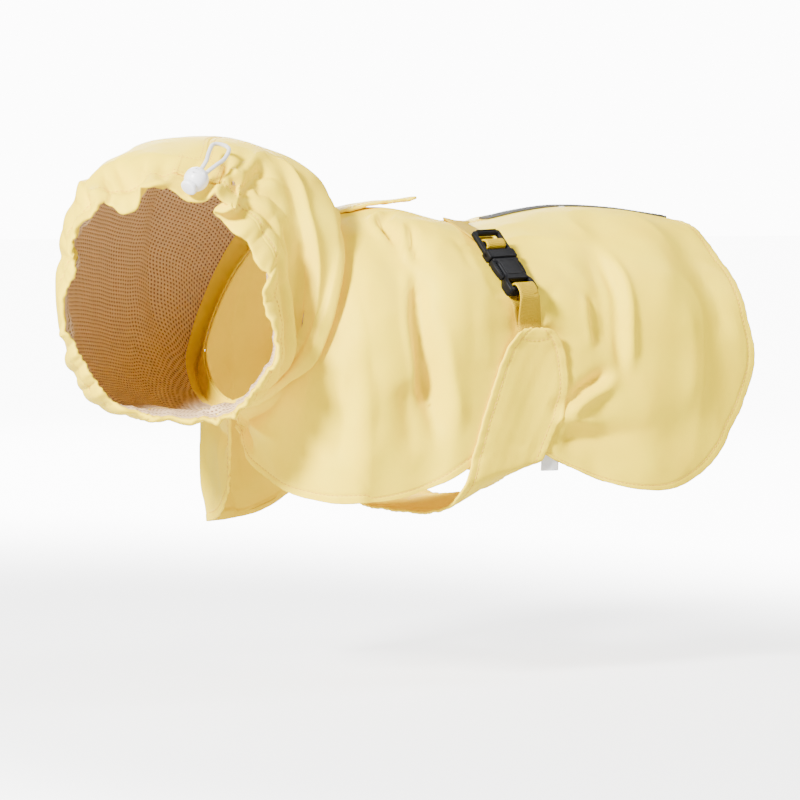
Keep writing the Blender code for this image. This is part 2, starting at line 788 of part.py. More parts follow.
def buckle_frame(panels):
    """Frame of the buckle: X across the strap, Y up along it, Z away from the coat.

    The buckle is as close to the coat as the room below its middle plane lets it be.
    """
    top = panels.point_z(BUCKLE_TOP_STATION, BUCKLE_TOP_Z, NEAR, 0.0)
    bottom = panels.point_z(BUCKLE_BOTTOM_STATION, BUCKLE_BOTTOM_Z, NEAR, 0.0)
    up = (top - bottom).normalized()
    q = (q_at(STRAP_STATION, BUCKLE_TOP_Z) + q_at(STRAP_STATION, BUCKLE_BOTTOM_Z)) / 2
    across = up.cross(outward(STRAP_STATION, q, NEAR)).normalized()
    away = across.cross(up)
    middle = (top + bottom) / 2
    lift = 0.0
    for along, room in BUCKLE_ROOM:
        for aside in (-BUCKLE_HALF_WIDE, -6.0, 0.0, 6.0, BUCKLE_HALF_WIDE):
            start = middle + across * aside + up * along + away * 30
            face = panels.hit(start, -away, NEAR)
            if face:
                lift = max(lift, (face - middle).dot(away) + room)
    return frame_of(across, up, away, middle + away * lift)


def mirrored(outline):
    """Outline made of its left half, listed from top to bottom, and the same reversed."""
    return outline + [(-x, y) for x, y in reversed(outline)]


def build_buckle(frame):
    """Two halves of the side-release buckle, closed."""
    wide, end = BUCKLE_HALF_WIDE, BUCKLE_HALF_LONG
    left = [(-wide, end), (-wide, MOUTH + 2), (-wide + 2.5, MOUTH + 0.4),
            (-BAR_HALF, MOUTH + 0.4), (-BAR_HALF, -8.0), (-6.6, -9.5), (-5.2, -8.0),
            (-5.2, MOUTH - 1), (-2.2, MOUTH - 1), (-2.2, -10.0)]
    plate = prism("buckle_male", mirrored(left), PLATE_DEEP, frame, BLACK)
    for name, low, high in (("lower", 7.0, 11.5), ("upper", 15.0, 20.5)):
        outline = box_outline(-BAR_HALF, BAR_HALF, low, high)
        cut(plate, prism("ladder_" + name, outline, 20.0, frame, BLACK))
    left = [(-wide + 1, MOUTH), (-wide + 1, -7), (-wide + 2.6, -11), (-wide + 1.8, -16),
            (-wide + 0.2, -19.5), (-wide, -end)]
    socket = prism("buckle_female", mirrored(left), BUCKLE_DEEP, frame, BLACK)
    pocket = box_outline(-BAR_HALF - GAP, BAR_HALF + GAP, -12.0, MOUTH + 1)
    cut(socket, prism("socket_pocket", pocket, POCKET_DEEP, frame, BLACK))
    for name, sign in (("left", -1), ("right", 1)):
        outline = box_outline(sign * 10.7 - 3.3, sign * 10.7 + 3.3, -9.5, -1.8)
        cut(socket, prism("socket_side_" + name, outline, 20.0, frame, BLACK))
    slot = box_outline(-BAR_HALF, BAR_HALF, -20.3, -14.9)
    cut(socket, prism("socket_slot", slot, 20.0, frame, BLACK))


def ribbon(name, stations, width, wall, colour):
    """Webbing from middles of the face that its wall grows from, and ways across it."""
    face = [point for point, _ in stations]
    ways = [way for _, way in stations]
    places = run_lengths(face)
    stops = [0.0]
    for a, b in zip(places, places[1:]):
        parts = max(round((b - a) / 5.0), 1)
        stops += [a + (b - a) * (k + 1) / parts for k in range(parts)]
    grid = [[], [], []]
    for stop in stops:
        here, across = smooth(places, face, stop), smooth(places, ways, stop)
        ahead = smooth(places, face, min(stop + 0.4, places[-1]))
        run = (ahead - smooth(places, face, max(stop - 0.4, 0.0))).normalized()
        side_way = (across - run * across.dot(run)).normalized()
        for line, share in zip(grid, (-0.5, 0.0, 0.5)):
            line.append(here + side_way * (width * share))
    cloth(name, list(zip(*grid)), wall, colour, turned=True, roughness=0.75)


def build_webbing(panels, frame):
    """Webbing over the back into the ladder bars, and from the socket to the band."""
    turn = frame.to_3x3()
    centre = frame.translation / MM
    across = turn @ Vector((1, 0, 0))

    def local(route):
        return [(centre + turn @ Vector((0, y, z)), across) for y, z in route]

    back = STRAP_STATION
    far = q_at(back, WEBBING_FAR_Z)
    stations = [panels.strap(back, far * (1 - share), FAR, WEBBING_LIFT)
                for share in even(13)[:12]]
    stations += [panels.strap(back, q, side, WEBBING_LIFT)
                 for q, side in ((0.01, FAR), (0.03, NEAR), (0.06, NEAR), (0.09, NEAR),
                                 (0.12, NEAR))]
    stations += local(((21.5, -4.3), (17.6, -3.4), (15.9, -1.0), (15.6, 0.8),
                       (14.6, 2.0), (13.2, 2.3), (11.9, 2.0), (11.0, 0.9), (10.8, -1.2),
                       (9.6, -3.4), (6.8, -4.1), (3.4, -4.2)))
    ribbon("webbing_back", stations, WEBBING_WIDTH, WEBBING_WALL, GOLD)
    end, top = ((STRAP_LOW_STATION + more, q_at(STRAP_LOW_STATION + more, z))
                for more, z in ((2, WEBBING_END_Z), (1, -73)))
    under = 0.6 + WEBBING_WALL
    stations = [panels.strap(*place, NEAR, under) for place in (end, top)]
    stations += local(((-28.0, -4.7), (-24.5, -4.3), (-20.5, -4.1), (-19.6, -3.3),
                       (-19.4, 0.0), (-19.6, 3.3), (-20.5, 4.0), (-24.5, 3.9),
                       (-28.5, 1.6)))
    stations += [panels.strap(*place, NEAR, under + more)
                 for place, more in ((top, 1.0), (end, 0.5))]
    ribbon("webbing_side", stations, WEBBING_WIDTH, WEBBING_WALL, GOLD)


def build_patch():
    """Stitched patch on the crown, where the elastic comes out."""
    turns = (-8.5, -4.5, -1.5, 1.5, 4.5, 8.5)
    grid = [[hood_above(turn, at, GAP + THIN) for turn in turns]
            for at in (0.092, 0.12, 0.16, 0.20)]
    cloth("cord_patch", grid, THIN, PALE, turned=True)


def build_lock():
    """Round cord lock by the patch, its button, and the loop of elastic out of it."""
    seat = hood_above(0.0, LOCK_AT, 2 * GAP + LOCK_RADIUS)
    out = hood_outward(0.0, NEAR, LOCK_AT)
    rise = (hood_above(*LOCK_AIM) - seat).normalized()
    across = rise.cross(out).normalized()
    axes = frame_of(across.cross(rise), across, rise, seat)
    turns = [math.pi * k / 12 for k in range(13)]
    ball = [(0 if k in (0, 12) else LOCK_RADIUS * math.sin(t), -LOCK_RADIUS * math.cos(t))
            for k, t in enumerate(turns)]
    lock = turned_piece("cord_lock", ball, axes, WHITE)
    bore = BUTTON_RADIUS + GAP
    cut(lock, turned_piece("button_bore", [(0, -12), (bore, -12), (bore, -3.0), (0, -3.0)],
                           axes, WHITE))
    top = -3.0 - GAP
    button = [(0, top - BUTTON_LONG), (BUTTON_RADIUS - 0.6, top - BUTTON_LONG),
              (BUTTON_RADIUS, top - BUTTON_LONG + 0.6), (BUTTON_RADIUS, top), (0, top)]
    turned_piece("cord_lock_button", button, axes, WHITE)
    room = CORD_RADIUS + 0.5
    mouth = box_outline(-room, room, -STRAND_APART - room, STRAND_APART + room)
    cut(lock, prism("cord_mouth", mouth, 12.0, axes, WHITE, lift=MOUTH_FLOOR + 6.0))
    turn = axes.to_3x3()
    strands = [[seat + turn @ Vector((0, apart, z))
                for z in (MOUTH_FLOOR + GAP, LOCK_RADIUS + 1.5)]
               for apart in (-STRAND_APART, STRAND_APART)]
    keys = strands[0] + [hood_above(*row) for row in LOOP] + strands[1][::-1]
    build_cord("elastic_loop", keys)


def build_cord(name, keys):
    """Round cord along a smooth route, with flat ends."""
    places = run_lengths(keys)
    count = int(places[-1] / (2.2 * CORD_RADIUS)) + 1
    points = [smooth(places, keys, places[-1] * s) for s in even(count)]
    curve = bpy.data.curves.new(name, "CURVE")
    curve.dimensions = "3D"
    curve.bevel_depth = CORD_RADIUS * MM
    curve.bevel_resolution = 2
    curve.use_fill_caps = True
    spline = curve.splines.new("POLY")
    spline.points.add(len(points) - 1)
    for knot, point in zip(spline.points, points):
        knot.co = (*(point * MM), 1)
    curve.materials.append(principled(name, WHITE, 0.5))
    link(name, curve)


def build_label(panels):
    """Plain care label inside the near rear hem."""
    grid = []
    for share in even(4):
        z = LABEL_TOP + (LABEL_LOW - LABEL_TOP) * share
        grid.append([panels.point_z(LABEL_STATION + LABEL_HALF * across, z, NEAR, -2 * GAP)
                     for across in (1.0, 0.0, -1.0)])
    cloth("care_label", grid, THIN, WHITE, turned=True)


def clear_scene():
    """Start from an empty scene."""
    for old in list(bpy.data.objects):
        bpy.data.objects.remove(old, do_unlink=True)


def build_all():
    """Build every piece of the coat."""
    clear_scene()
    panels = build_cape()
    build_hood()
    build_strip(panels)
    build_flap()
    build_band(panels)
    frame = buckle_frame(panels)
    build_buckle(frame)
    build_webbing(panels, frame)
    build_patch()
    build_lock()
    build_label(panels)


build_all()
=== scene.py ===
"""Looks of the hooded dog raincoat: cloth, strap, hardware, floor, light and camera.

Sizes are in millimetres. X runs to the tail, the near side is -Y and Z is up.
"""

import logging
import math
from dataclasses import dataclass, field
from enum import Enum
from typing import Optional, Sequence

import bmesh
import bpy
import numpy as np
from mathutils import Matrix, Vector, noise
from mathutils.bvhtree import BVHTree

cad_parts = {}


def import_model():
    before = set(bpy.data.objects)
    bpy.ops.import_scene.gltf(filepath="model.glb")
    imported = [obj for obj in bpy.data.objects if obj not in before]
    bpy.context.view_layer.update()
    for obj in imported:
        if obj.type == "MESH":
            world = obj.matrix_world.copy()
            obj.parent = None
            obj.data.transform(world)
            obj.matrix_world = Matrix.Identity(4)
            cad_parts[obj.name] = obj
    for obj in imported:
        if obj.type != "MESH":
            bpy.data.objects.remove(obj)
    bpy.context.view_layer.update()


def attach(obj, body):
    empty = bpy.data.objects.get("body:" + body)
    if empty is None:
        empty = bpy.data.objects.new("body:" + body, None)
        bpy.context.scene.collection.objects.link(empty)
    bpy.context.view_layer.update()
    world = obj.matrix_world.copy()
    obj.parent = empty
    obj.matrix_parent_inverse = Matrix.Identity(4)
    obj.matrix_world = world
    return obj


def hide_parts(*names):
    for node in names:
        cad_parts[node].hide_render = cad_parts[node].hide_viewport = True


LOG = logging.getLogger("raincoat")
MM = 0.001
NEAR, FAR = -1.0, 1.0
Array = np.ndarray
Colour = tuple[float, float, float]
Outline = Sequence[tuple[float, float]]
Material = bpy.types.Material
Piece = bpy.types.Object
Socket = bpy.types.NodeSocket
CREASE_REACH = 3.2  # widths past which a crease leaves the cloth alone
SHARP = math.radians(50)
PROBE = 30.0  # how far out a ray at the cape starts


class Edge(Enum):
    """Which way a cloth grid's columns run, seen from outside."""

    RIGHT = 1
    LEFT = -1


class Kind(Enum):
    """What a line pressed into cloth looks like."""

    DENT = "dent"
    ROLL = "roll"


# --- curves

def hermite(keys: Array, at: Array) -> Array:
    """Weights that carry values at uneven keys to the places between them.

    Args:
        keys: rising places that values are known at.
        at: places that values are wanted at.

    Returns:
        A matrix with a row for each wanted place and a column for each key.
    """
    at = np.clip(np.ravel(at), keys[0], keys[-1])
    last = len(keys) - 1
    low = np.clip(np.searchsorted(keys, at, side="right") - 1, 0, last - 1)
    span = keys[low + 1] - keys[low]
    t = (at - keys[low]) / span
    square, cube = t * t, t * t * t
    made, rows = np.zeros((len(at), len(keys))), np.arange(len(at))
    made[rows, low] += 2 * cube - 3 * square + 1
    made[rows, low + 1] += 3 * square - 2 * cube
    for key, share in ((low, cube - 2 * square + t), (low + 1, cube - square)):
        before, after = np.maximum(key - 1, 0), np.minimum(key + 1, last)
        pull = share * span / (keys[after] - keys[before])
        made[rows, after] += pull
        made[rows, before] -= pull
    return made


def smooth(keys: Sequence[float], values: Array, at: Array) -> Array:
    """Smooth curve through values at uneven keys, at each wanted place."""
    keys, values, at = np.asarray(keys, float), np.asarray(values, float), np.asarray(at, float)
    made = hermite(keys, at) @ values.reshape(len(keys), -1)
    return made.reshape(at.shape + values.shape[1:])


def unit(vectors: Array) -> Array:
    """Vectors at length one."""
    return vectors / np.maximum(np.linalg.norm(vectors, axis=-1, keepdims=True), 1e-12)


def step(values: Array) -> Array:
    """Soft step from 0 to 1."""
    values = np.clip(values, 0.0, 1.0)
    return values * values * (3 - 2 * values)


def bell(away: Array, width: float) -> Array:
    """1 at a place, and less with the distance from it."""
    return np.exp(-(away / width) ** 2)


def run_of(points: Array) -> Array:
    """Distance along a line of points, at each point."""
    return np.concatenate(([0.0], np.cumsum(np.linalg.norm(np.diff(points, axis=0), axis=1))))


def chance(index: Array, seed: float) -> Array:
    """Steady scatter from 0 to 1 for whole numbers."""
    return np.modf(np.abs(np.sin(index * 12.9898 + seed) * 43758.5453))[0]


def ripple(along: Array, length: float, seed: float) -> Array:
    """Uneven wave of about a length, from -1 to 1."""
    turn = 2 * math.pi * along / length
    return 0.55 * np.sin(turn + 1.7 * np.sin(turn * 0.23 + seed) + seed) \
        + 0.3 * np.sin(turn * 0.61 + 2 * seed) + 0.15 * np.sin(turn * 1.9 + 3 * seed)


@dataclass(frozen=True)
class Table:
    """Named columns along the first one."""

    columns: tuple[str, ...]
    rows: tuple[tuple[float, ...], ...]

    def at(self, place: Array) -> dict[str, Array]:
        """All columns at places along the first."""
        data = np.array(self.rows, float)
        made = smooth(data[:, 0], data[:, 1:], place)
        return {name: made[..., k] for k, name in enumerate(self.columns[1:])}


@dataclass(frozen=True)
class Crease:
    """Line pressed into cloth: positive depths are troughs."""

    path: tuple[tuple[float, float], ...]
    depth: float
    width: float
    kind: Kind = Kind.DENT
    side: float = NEAR
    ends: tuple[float, float] = (0.3, 0.3)

    def course(self, count: int) -> Array:
        """Places along the crease, smooth between its keys."""
        keys = np.array(self.path, float)
        return smooth(np.arange(len(keys)), keys, np.linspace(0, len(keys) - 1, count))

    def lift(self, line: Array, points: Array, normals: Array) -> Array:
        """Height that this crease gives each point.

        Args:
            line: the crease's own course over the cloth.
            points: places on the cloth.
            normals: the way out at each place.

        Returns:
            One height for each point.
        """
        made = np.zeros(len(points))
        reach = CREASE_REACH * self.width
        inside = (points > line.min(0) - reach) & (points < line.max(0) + reach)
        near = np.nonzero(inside.all(1))[0]
        if not near.size:
            return made
        starts, runs = line[:-1], np.diff(line, axis=0)
        away = points[near][:, None] - starts
        share = np.clip((away * runs).sum(-1) / (runs * runs).sum(-1), 0, 1)
        gap = away - share[..., None] * runs
        far = np.linalg.norm(gap, axis=-1)
        pick, rows = far.argmin(1), np.arange(len(near))
        along = (pick + share[rows, pick]) / len(starts)
        place = far[rows, pick] / self.width
        fade = step(along / self.ends[0]) * step((1 - along) / self.ends[1])
        shape = np.exp(-place ** 1.4)
        if self.kind is Kind.ROLL:
            hand = np.cross(runs[pick], gap[rows, pick])
            shape = 2.0 * place * np.exp(-place ** 2) * np.sign((hand * normals[near]).sum(-1))
        made[near] = -self.depth * fade * shape
        return made


# --- finishes

class Nodes:
    """Short hand for building a node tree."""

    def __init__(self, tree: bpy.types.NodeTree) -> None:
        """Work on a tree."""
        self.tree = tree

    def fill(self, node: bpy.types.Node, **settings: object) -> bpy.types.Node:
        """Set a node up.

        Args:
            node: the node.
            settings: properties in lower case, and inputs with a leading capital.

        Returns:
            The same node.
        """
        for key, value in settings.items():
            if key[0].isupper():
                self.put(node.inputs[key.replace("_", " ")], value)
            else:
                setattr(node, key, value)
        return node

    def add(self, kind: str, **settings: object) -> bpy.types.Node:
        """New node of a kind, set up."""
        return self.fill(self.tree.nodes.new(kind), **settings)

    def put(self, socket: Socket, value: object) -> None:
        """Set a socket's value, or link it to another node's output."""
        if isinstance(value, bpy.types.NodeSocket):
            self.tree.links.new(value, socket)
        else:
            socket.default_value = value

    def math(self, kind: str, *values: object) -> Socket:
        """Result of a math node on numbers or sockets."""
        node = self.add("ShaderNodeMath", operation=kind)
        for socket, value in zip(node.inputs, values):
            self.put(socket, value)
        return node.outputs[0]

    def camera_ray(self) -> Socket:
        """1 for what the camera sees itself."""
        return self.add("ShaderNodeLightPath").outputs["Is Camera Ray"]


class Finish(Nodes):
    """Material built from nodes round a principled shader."""

    def __init__(self, name: str) -> None:
        """Start a plain material."""
        self.material = bpy.data.materials.new(name)
        self.material.use_nodes = True
        super().__init__(self.material.node_tree)

    def place(self, mapped: bool) -> Socket:
        """Object coordinates, or the piece's own flat map."""
        return self.add("ShaderNodeTexCoord").outputs["UV" if mapped else "Object"]

    def axes(self, mapped: bool) -> Sequence[Socket]:
        """First and second number of the place."""
        return self.add("ShaderNodeSeparateXYZ", Vector=self.place(mapped)).outputs[:2]

    def noise(self, where: Socket, scale: float, detail: float = 3.0) -> Socket:
        """Cloudy value from 0 to 1."""
        return self.add("ShaderNodeTexNoise", Vector=where, Scale=scale, Detail=detail,
                        Roughness=0.5).outputs["Fac"]

    def uneven(self, where: Socket, scale: float, spread: float, middle: float) -> Socket:
        """Cloudy value round a middle one."""
        return self.math("MULTIPLY_ADD", self.noise(where, scale), spread, middle - spread / 2)

    def colours(self, factor: Socket, low: Colour, high: Colour,
                ends: tuple[float, float] = (0.3, 0.7)) -> Socket:
        """Colour between two, by a factor."""
        node = self.add("ShaderNodeValToRGB", Fac=factor)
        for stop, place, colour in zip(node.color_ramp.elements, ends, (low, high)):
            stop.position, stop.color = place, (*colour, 1.0)
        return node.outputs["Color"]

    def bump(self, height: Socket, distance: float, strength: float,
             under: Optional[Socket] = None) -> Socket:
        """Surface relief from a height, over another relief where there is one."""
        node = self.add("ShaderNodeBump", Height=height, Distance=distance, Strength=strength)
        if under:
            self.put(node.inputs["Normal"], under)
        return node.outputs["Normal"]

    def threads(self, pitch: float) -> Sequence[Socket]:
        """Angles of warp and weft on the flat map, a turn for each pitch in mm."""
        rate = 2 * math.pi / (pitch * MM)
        return [self.math("MULTIPLY", axis, rate) for axis in self.axes(True)]

    def done(self, **inputs: object) -> Material:
        """The material, with its shader's inputs."""
        self.fill(self.tree.nodes["Principled BSDF"], **inputs)
        return self.material


@dataclass(frozen=True)
class ShellCloth:
    """Tightly woven rain shell with a slight sheen."""

    name: str = "shell_cloth"
    colour: Colour = (1.0, 0.745, 0.0)
    deep: Colour = (1.0, 0.70, 0.0)
    pitch: float = 0.42
    roughness: float = 0.50
    gloss: float = 0.12
    sheen: float = 0.02

    def build(self) -> Material:
        """Weave, faint mottling and soft small wrinkles."""
        n = Finish(self.name)
        here = n.place(False)
        mottle = n.colours(n.noise(here, 38.0, 4.0), self.deep, self.colour, (0.2, 0.75))
        weave = n.math("MULTIPLY", *(n.math("SINE", v) for v in n.threads(self.pitch)))
        wrinkle = n.bump(n.noise(here, 95.0), 0.00045, 0.5)
        fine = n.bump(n.noise(here, 420.0, 2.0), 0.00010, 0.5, wrinkle)
        return n.done(Base_Color=mottle, Normal=n.bump(weave, 0.00003, 0.35, fine),
                      Roughness=n.uneven(here, 160.0, 0.12, self.roughness),
                      Sheen_Weight=self.sheen, Sheen_Roughness=0.4,
                      Specular_IOR_Level=self.gloss)


@dataclass(frozen=True)
class MeshLining:
    """Soft beige mesh with small open holes, which are painted dark as shade."""

    name: str = "mesh_lining"
    colour: Colour = (0.72, 0.50, 0.28)
    # painted shade: the dark colour laid in the holes stands for the shade seen through them
    shaded_hole: Colour = (0.24, 0.11, 0.05)
    pitch: float = 2.5

    def build(self) -> Material:
        """Rows of round holes between soft threads, the holes painted dark as shade."""
        n = Finish(self.name)
        rate = math.pi / (self.pitch * MM)
        waves = [n.math("SINE", n.math("MULTIPLY_ADD", axis, rate, 0.7))
                 for axis in n.axes(True)]
        shaded_hole = n.math("POWER", n.math("ABSOLUTE", n.math("MULTIPLY", *waves)), 2.0)
        fuzz = n.bump(n.noise(n.place(False), 900.0), 0.0002, 0.6)
        # the holes get painted shade, a dark brown, over the beige threads
        return n.done(Base_Color=n.colours(shaded_hole, self.colour, self.shaded_hole, (0.42, 0.66)),
                      Normal=n.bump(n.math("SUBTRACT", 1.0, shaded_hole), 0.0007, 0.8, fuzz),
                      Roughness=0.85, Specular_IOR_Level=0.15)


@dataclass(frozen=True)
class Webbing:
    """Ribbed woven tape."""

    name: str
    colour: Colour
    shade: Colour
    pitch: float = 1.15
    roughness: float = 0.7

    def build(self) -> Material:
        """Ribs across the tape, crossed by fine threads."""
        n = Finish(self.name)
        cross, along = n.threads(self.pitch)
        slant = n.math("ADD", along, n.math("MULTIPLY", n.math("SINE", cross), 0.9))
        rib = n.math("ADD", n.math("SINE", slant),
                     n.math("MULTIPLY", n.math("COSINE", cross), 0.5))
        fuzz = n.bump(n.noise(n.place(False), 1500.0, 2.0), 0.0001, 0.5)
        return n.done(Base_Color=n.colours(rib, self.shade, self.colour, (0.0, 0.55)),
                      Normal=n.bump(rib, 0.00022, 0.7, fuzz), Roughness=self.roughness,
                      Specular_IOR_Level=0.12)


@dataclass(frozen=True)
class Moulded:
    """Moulded plastic with a fine grain."""

    name: str
    colour: Colour
    worn: Colour
    roughness: float = 0.36
    grain: float = 0.00003
    specular: float = 0.5

    def build(self) -> Material:
        """Fine grain, faint mottling and slightly uneven gloss."""
        n = Finish(self.name)
        here = n.place(False)
        mottle = n.colours(n.noise(here, 120.0, 4.0), self.colour, self.worn, (0.35, 0.8))
        soft = n.bump(n.noise(here, 260.0, 2.0), 0.00008, 0.4)
        return n.done(Base_Color=mottle,
                      Normal=n.bump(n.noise(here, 2600.0, 2.0), self.grain, 0.8, soft),
                      Roughness=n.uneven(here, 300.0, 0.16, self.roughness),
                      Specular_IOR_Level=self.specular)


@dataclass(frozen=True)
class Braid:
    """Round braided elastic."""

    name: str = "braided_elastic"
    colour: Colour = (0.88, 0.87, 0.86)
    shade: Colour = (0.62, 0.60, 0.58)
    strands: int = 4
    pitch: float = 1.6

    def build(self) -> Material:
        """Crossing strands that wind both ways."""
        n = Finish(self.name)
        u, v = n.axes(True)
        winds = (n.math("MULTIPLY", u, 2 * math.pi * self.strands),
                 n.math("MULTIPLY", v, 2 * math.pi / (self.pitch * MM)))
        weave = n.math("MULTIPLY", n.math("SINE", n.math("ADD", *winds)),
                       n.math("SINE", n.math("SUBTRACT", *winds)))
        return n.done(Base_Color=n.colours(weave, self.shade, self.colour, (0.0, 0.4)),
                      Normal=n.bump(weave, 0.00018, 0.7), Roughness=0.6)


@dataclass(frozen=True)
class Plain:
    """Plain tape or thread with a faint grain."""

    name: str
    colour: Colour
    shade: Colour
    roughness: float = 0.6
    scale: float = 700.0
    relief: float = 0.00008

    def build(self) -> Material:
        """Faint cloudy colour and a fine relief."""
        n = Finish(self.name)
        cloud = n.noise(n.place(False), self.scale)
        return n.done(Base_Color=n.colours(cloud, self.shade, self.colour),
                      Normal=n.bump(cloud, self.relief, 0.6), Roughness=self.roughness)


@dataclass(frozen=True)
class Paper:
    """White sweep that looks lit from behind, brighter away from the coat."""

    name: str = "floor_paper"
    tone: float = 0.62
    dim: float = 2.6
    bright: float = 10.5
    reach: tuple[float, float] = (0.30, 0.85)
    squeeze: float = 0.55

    def build(self) -> Material:
        """Glow for the camera that grows with distance from the middle."""
        n = Finish(self.name)
        x, y = n.axes(False)
        squares = [n.math("POWER", n.math("ABSOLUTE", v), 2.0)
                   for v in (x, n.math("MULTIPLY", y, self.squeeze))]
        glow = n.add("ShaderNodeMapRange", interpolation_type="SMOOTHSTEP",
                     Value=n.math("SQRT", n.math("ADD", *squares)), From_Min=self.reach[0],
                     From_Max=self.reach[1], To_Min=self.dim, To_Max=self.bright)
        return n.done(Base_Color=(self.tone, self.tone, self.tone, 1),
                      Emission_Color=(1, 1, 1, 1), Roughness=0.8,
                      Emission_Strength=n.math("MULTIPLY", n.camera_ray(),
                                               glow.outputs["Result"]))


@dataclass(frozen=True)
class Finishes:
    """Every finish of the coat, built once."""

    shell: Material = field(default_factory=ShellCloth().build)
    lining: Material = field(default_factory=MeshLining().build)
    webbing: Material = field(default_factory=Webbing(
        "golden_webbing", (0.62, 0.405, 0.0), (0.50, 0.315, 0.0)).build)
    strip: Material = field(default_factory=Webbing(
        "grey_strip", (0.11, 0.11, 0.108), (0.07, 0.07, 0.069), 0.6).build)
    black: Material = field(default_factory=Moulded(
        "black_buckle", (0.004, 0.004, 0.005), (0.006, 0.006, 0.007), 0.5,
        specular=0.09).build)
    white: Material = field(default_factory=Moulded(
        "white_lock", (0.86, 0.86, 0.87), (0.80, 0.80, 0.81), 0.30).build)
    elastic: Material = field(default_factory=Braid().build)
    label: Material = field(default_factory=Plain(
        "label_tape", (0.87, 0.87, 0.86), (0.80, 0.80, 0.79)).build)
    thread: Material = field(default_factory=Plain(
        "sewing_thread", (0.86, 0.52, 0.04), (0.74, 0.42, 0.02), 0.5, 2500.0).build)


# --- making pieces

def grid_normals(grid: Array, closed: bool, edge: Edge) -> Array:
    """Way out of the cloth at each point of a grid."""
    if closed:
        across = np.roll(grid, -1, axis=1) - np.roll(grid, 1, axis=1)
    else:
        across = np.gradient(grid, axis=1)
    return unit(np.cross(np.gradient(grid, axis=0), across)) * edge.value


def edge_gaps(grid: Array) -> tuple[Array, Array, Array, Array]:
    """Distance of each grid point from the first row, last row, first and last column."""
    down = np.linalg.norm(np.diff(grid, axis=0), axis=2)
    across = np.linalg.norm(np.diff(grid, axis=1), axis=2)
    v = np.pad(np.cumsum(down, axis=0), ((1, 0), (0, 0)))
    u = np.pad(np.cumsum(across, axis=1), ((0, 0), (1, 0)))
    return v, v[-1] - v, u, u[:, -1:] - u


def flat_map(grid: Array) -> Array:
    """Distances across and down a grid, in metres, in a row for each point."""
    down, _, across, _ = edge_gaps(grid)
    return np.stack((across, down), -1).reshape(-1, 2) * MM


def panes(index: Array) -> Array:
    """Corners of the faces between point numbers that stand in a grid."""
    return np.stack((index[:-1, :-1], index[:-1, 1:], index[1:, 1:], index[1:, :-1]),
                    -1).reshape(-1, 4)


def numbered(grid: Array, down: int = 0, across: int = 0) -> Array:
    """Point numbers of a grid, with its first row or column again where it closes."""
    index = np.arange(grid[..., 0].size).reshape(grid.shape[:2])
    return np.pad(index, ((0, down), (0, across)), "wrap")


def linked(name: str, data: bpy.types.ID) -> Piece:
    """Object put in the scene."""
    made = bpy.data.objects.new(name, data)
    bpy.context.scene.collection.objects.link(made)
    return made


def poly_curve(name: str, lines: Sequence[Array], closed: bool) -> bpy.types.Curve:
    """Curve of straight runs through points in millimetres."""
    curve = bpy.data.curves.new(name, "CURVE")
    for line in lines:
        spline = curve.splines.new("POLY")
        spline.points.add(len(line) - 1)
        flat = np.concatenate((np.asarray(line) * MM, np.ones((len(line), 1))), axis=1)
        spline.points.foreach_set("co", flat.astype(np.float32).ravel())
        spline.use_cyclic_u = closed
    return curve


def plain_mesh(source: Piece, *spent: Piece) -> bpy.types.Mesh:
    """Mesh of an object with its modifiers, which uses up the object and its cutters."""
    bpy.context.view_layer.update()
    graph = bpy.context.evaluated_depsgraph_get()
    mesh = bpy.data.meshes.new_from_object(source.evaluated_get(graph))
    for piece in (*spent, source):
        bpy.data.objects.remove(piece, do_unlink=True)
    return mesh


def turn_out(mesh: bpy.types.Mesh, merge: float = 0.0) -> None:
    """Merge a mesh's doubles within a distance, and turn its faces outwards."""
    work = bmesh.new()
    work.from_mesh(mesh)
    if merge:
        bmesh.ops.remove_doubles(work, verts=work.verts, dist=merge)
    bmesh.ops.recalc_face_normals(work, faces=work.faces)
    work.to_mesh(mesh)
    work.free()


def mesh_piece(name: str, points: Array, faces: Sequence[Sequence[int]],
               materials: Sequence[Material], where: Optional[Array] = None,
               slots: Optional[Array] = None) -> Piece:
    """Smooth closed mesh, turned the right way out.

    Args:
        name: the piece's name.
        points: its points in millimetres.
        faces: corners of each face.
        materials: the finishes on it.
        where: flat map of each point, in metres.
        slots: which finish each face has.

    Returns:
        The new object.
    """
    mesh = bpy.data.meshes.new(name)
    mesh.from_pydata((points * MM).tolist(), [], faces)
    turn_out(mesh)
    for material in materials:
        mesh.materials.append(material)
    if slots is not None:
        mesh.polygons.foreach_set("material_index", slots.astype(np.int32))
    if where is not None:
        corner = np.empty(len(mesh.loops), np.int32)
        mesh.loops.foreach_get("vertex_index", corner)
        mesh.uv_layers.new(name="flat_map").data.foreach_set(
            "uv", where[corner].astype(np.float32).ravel())
    mesh.shade_smooth()
    return linked(name, mesh)


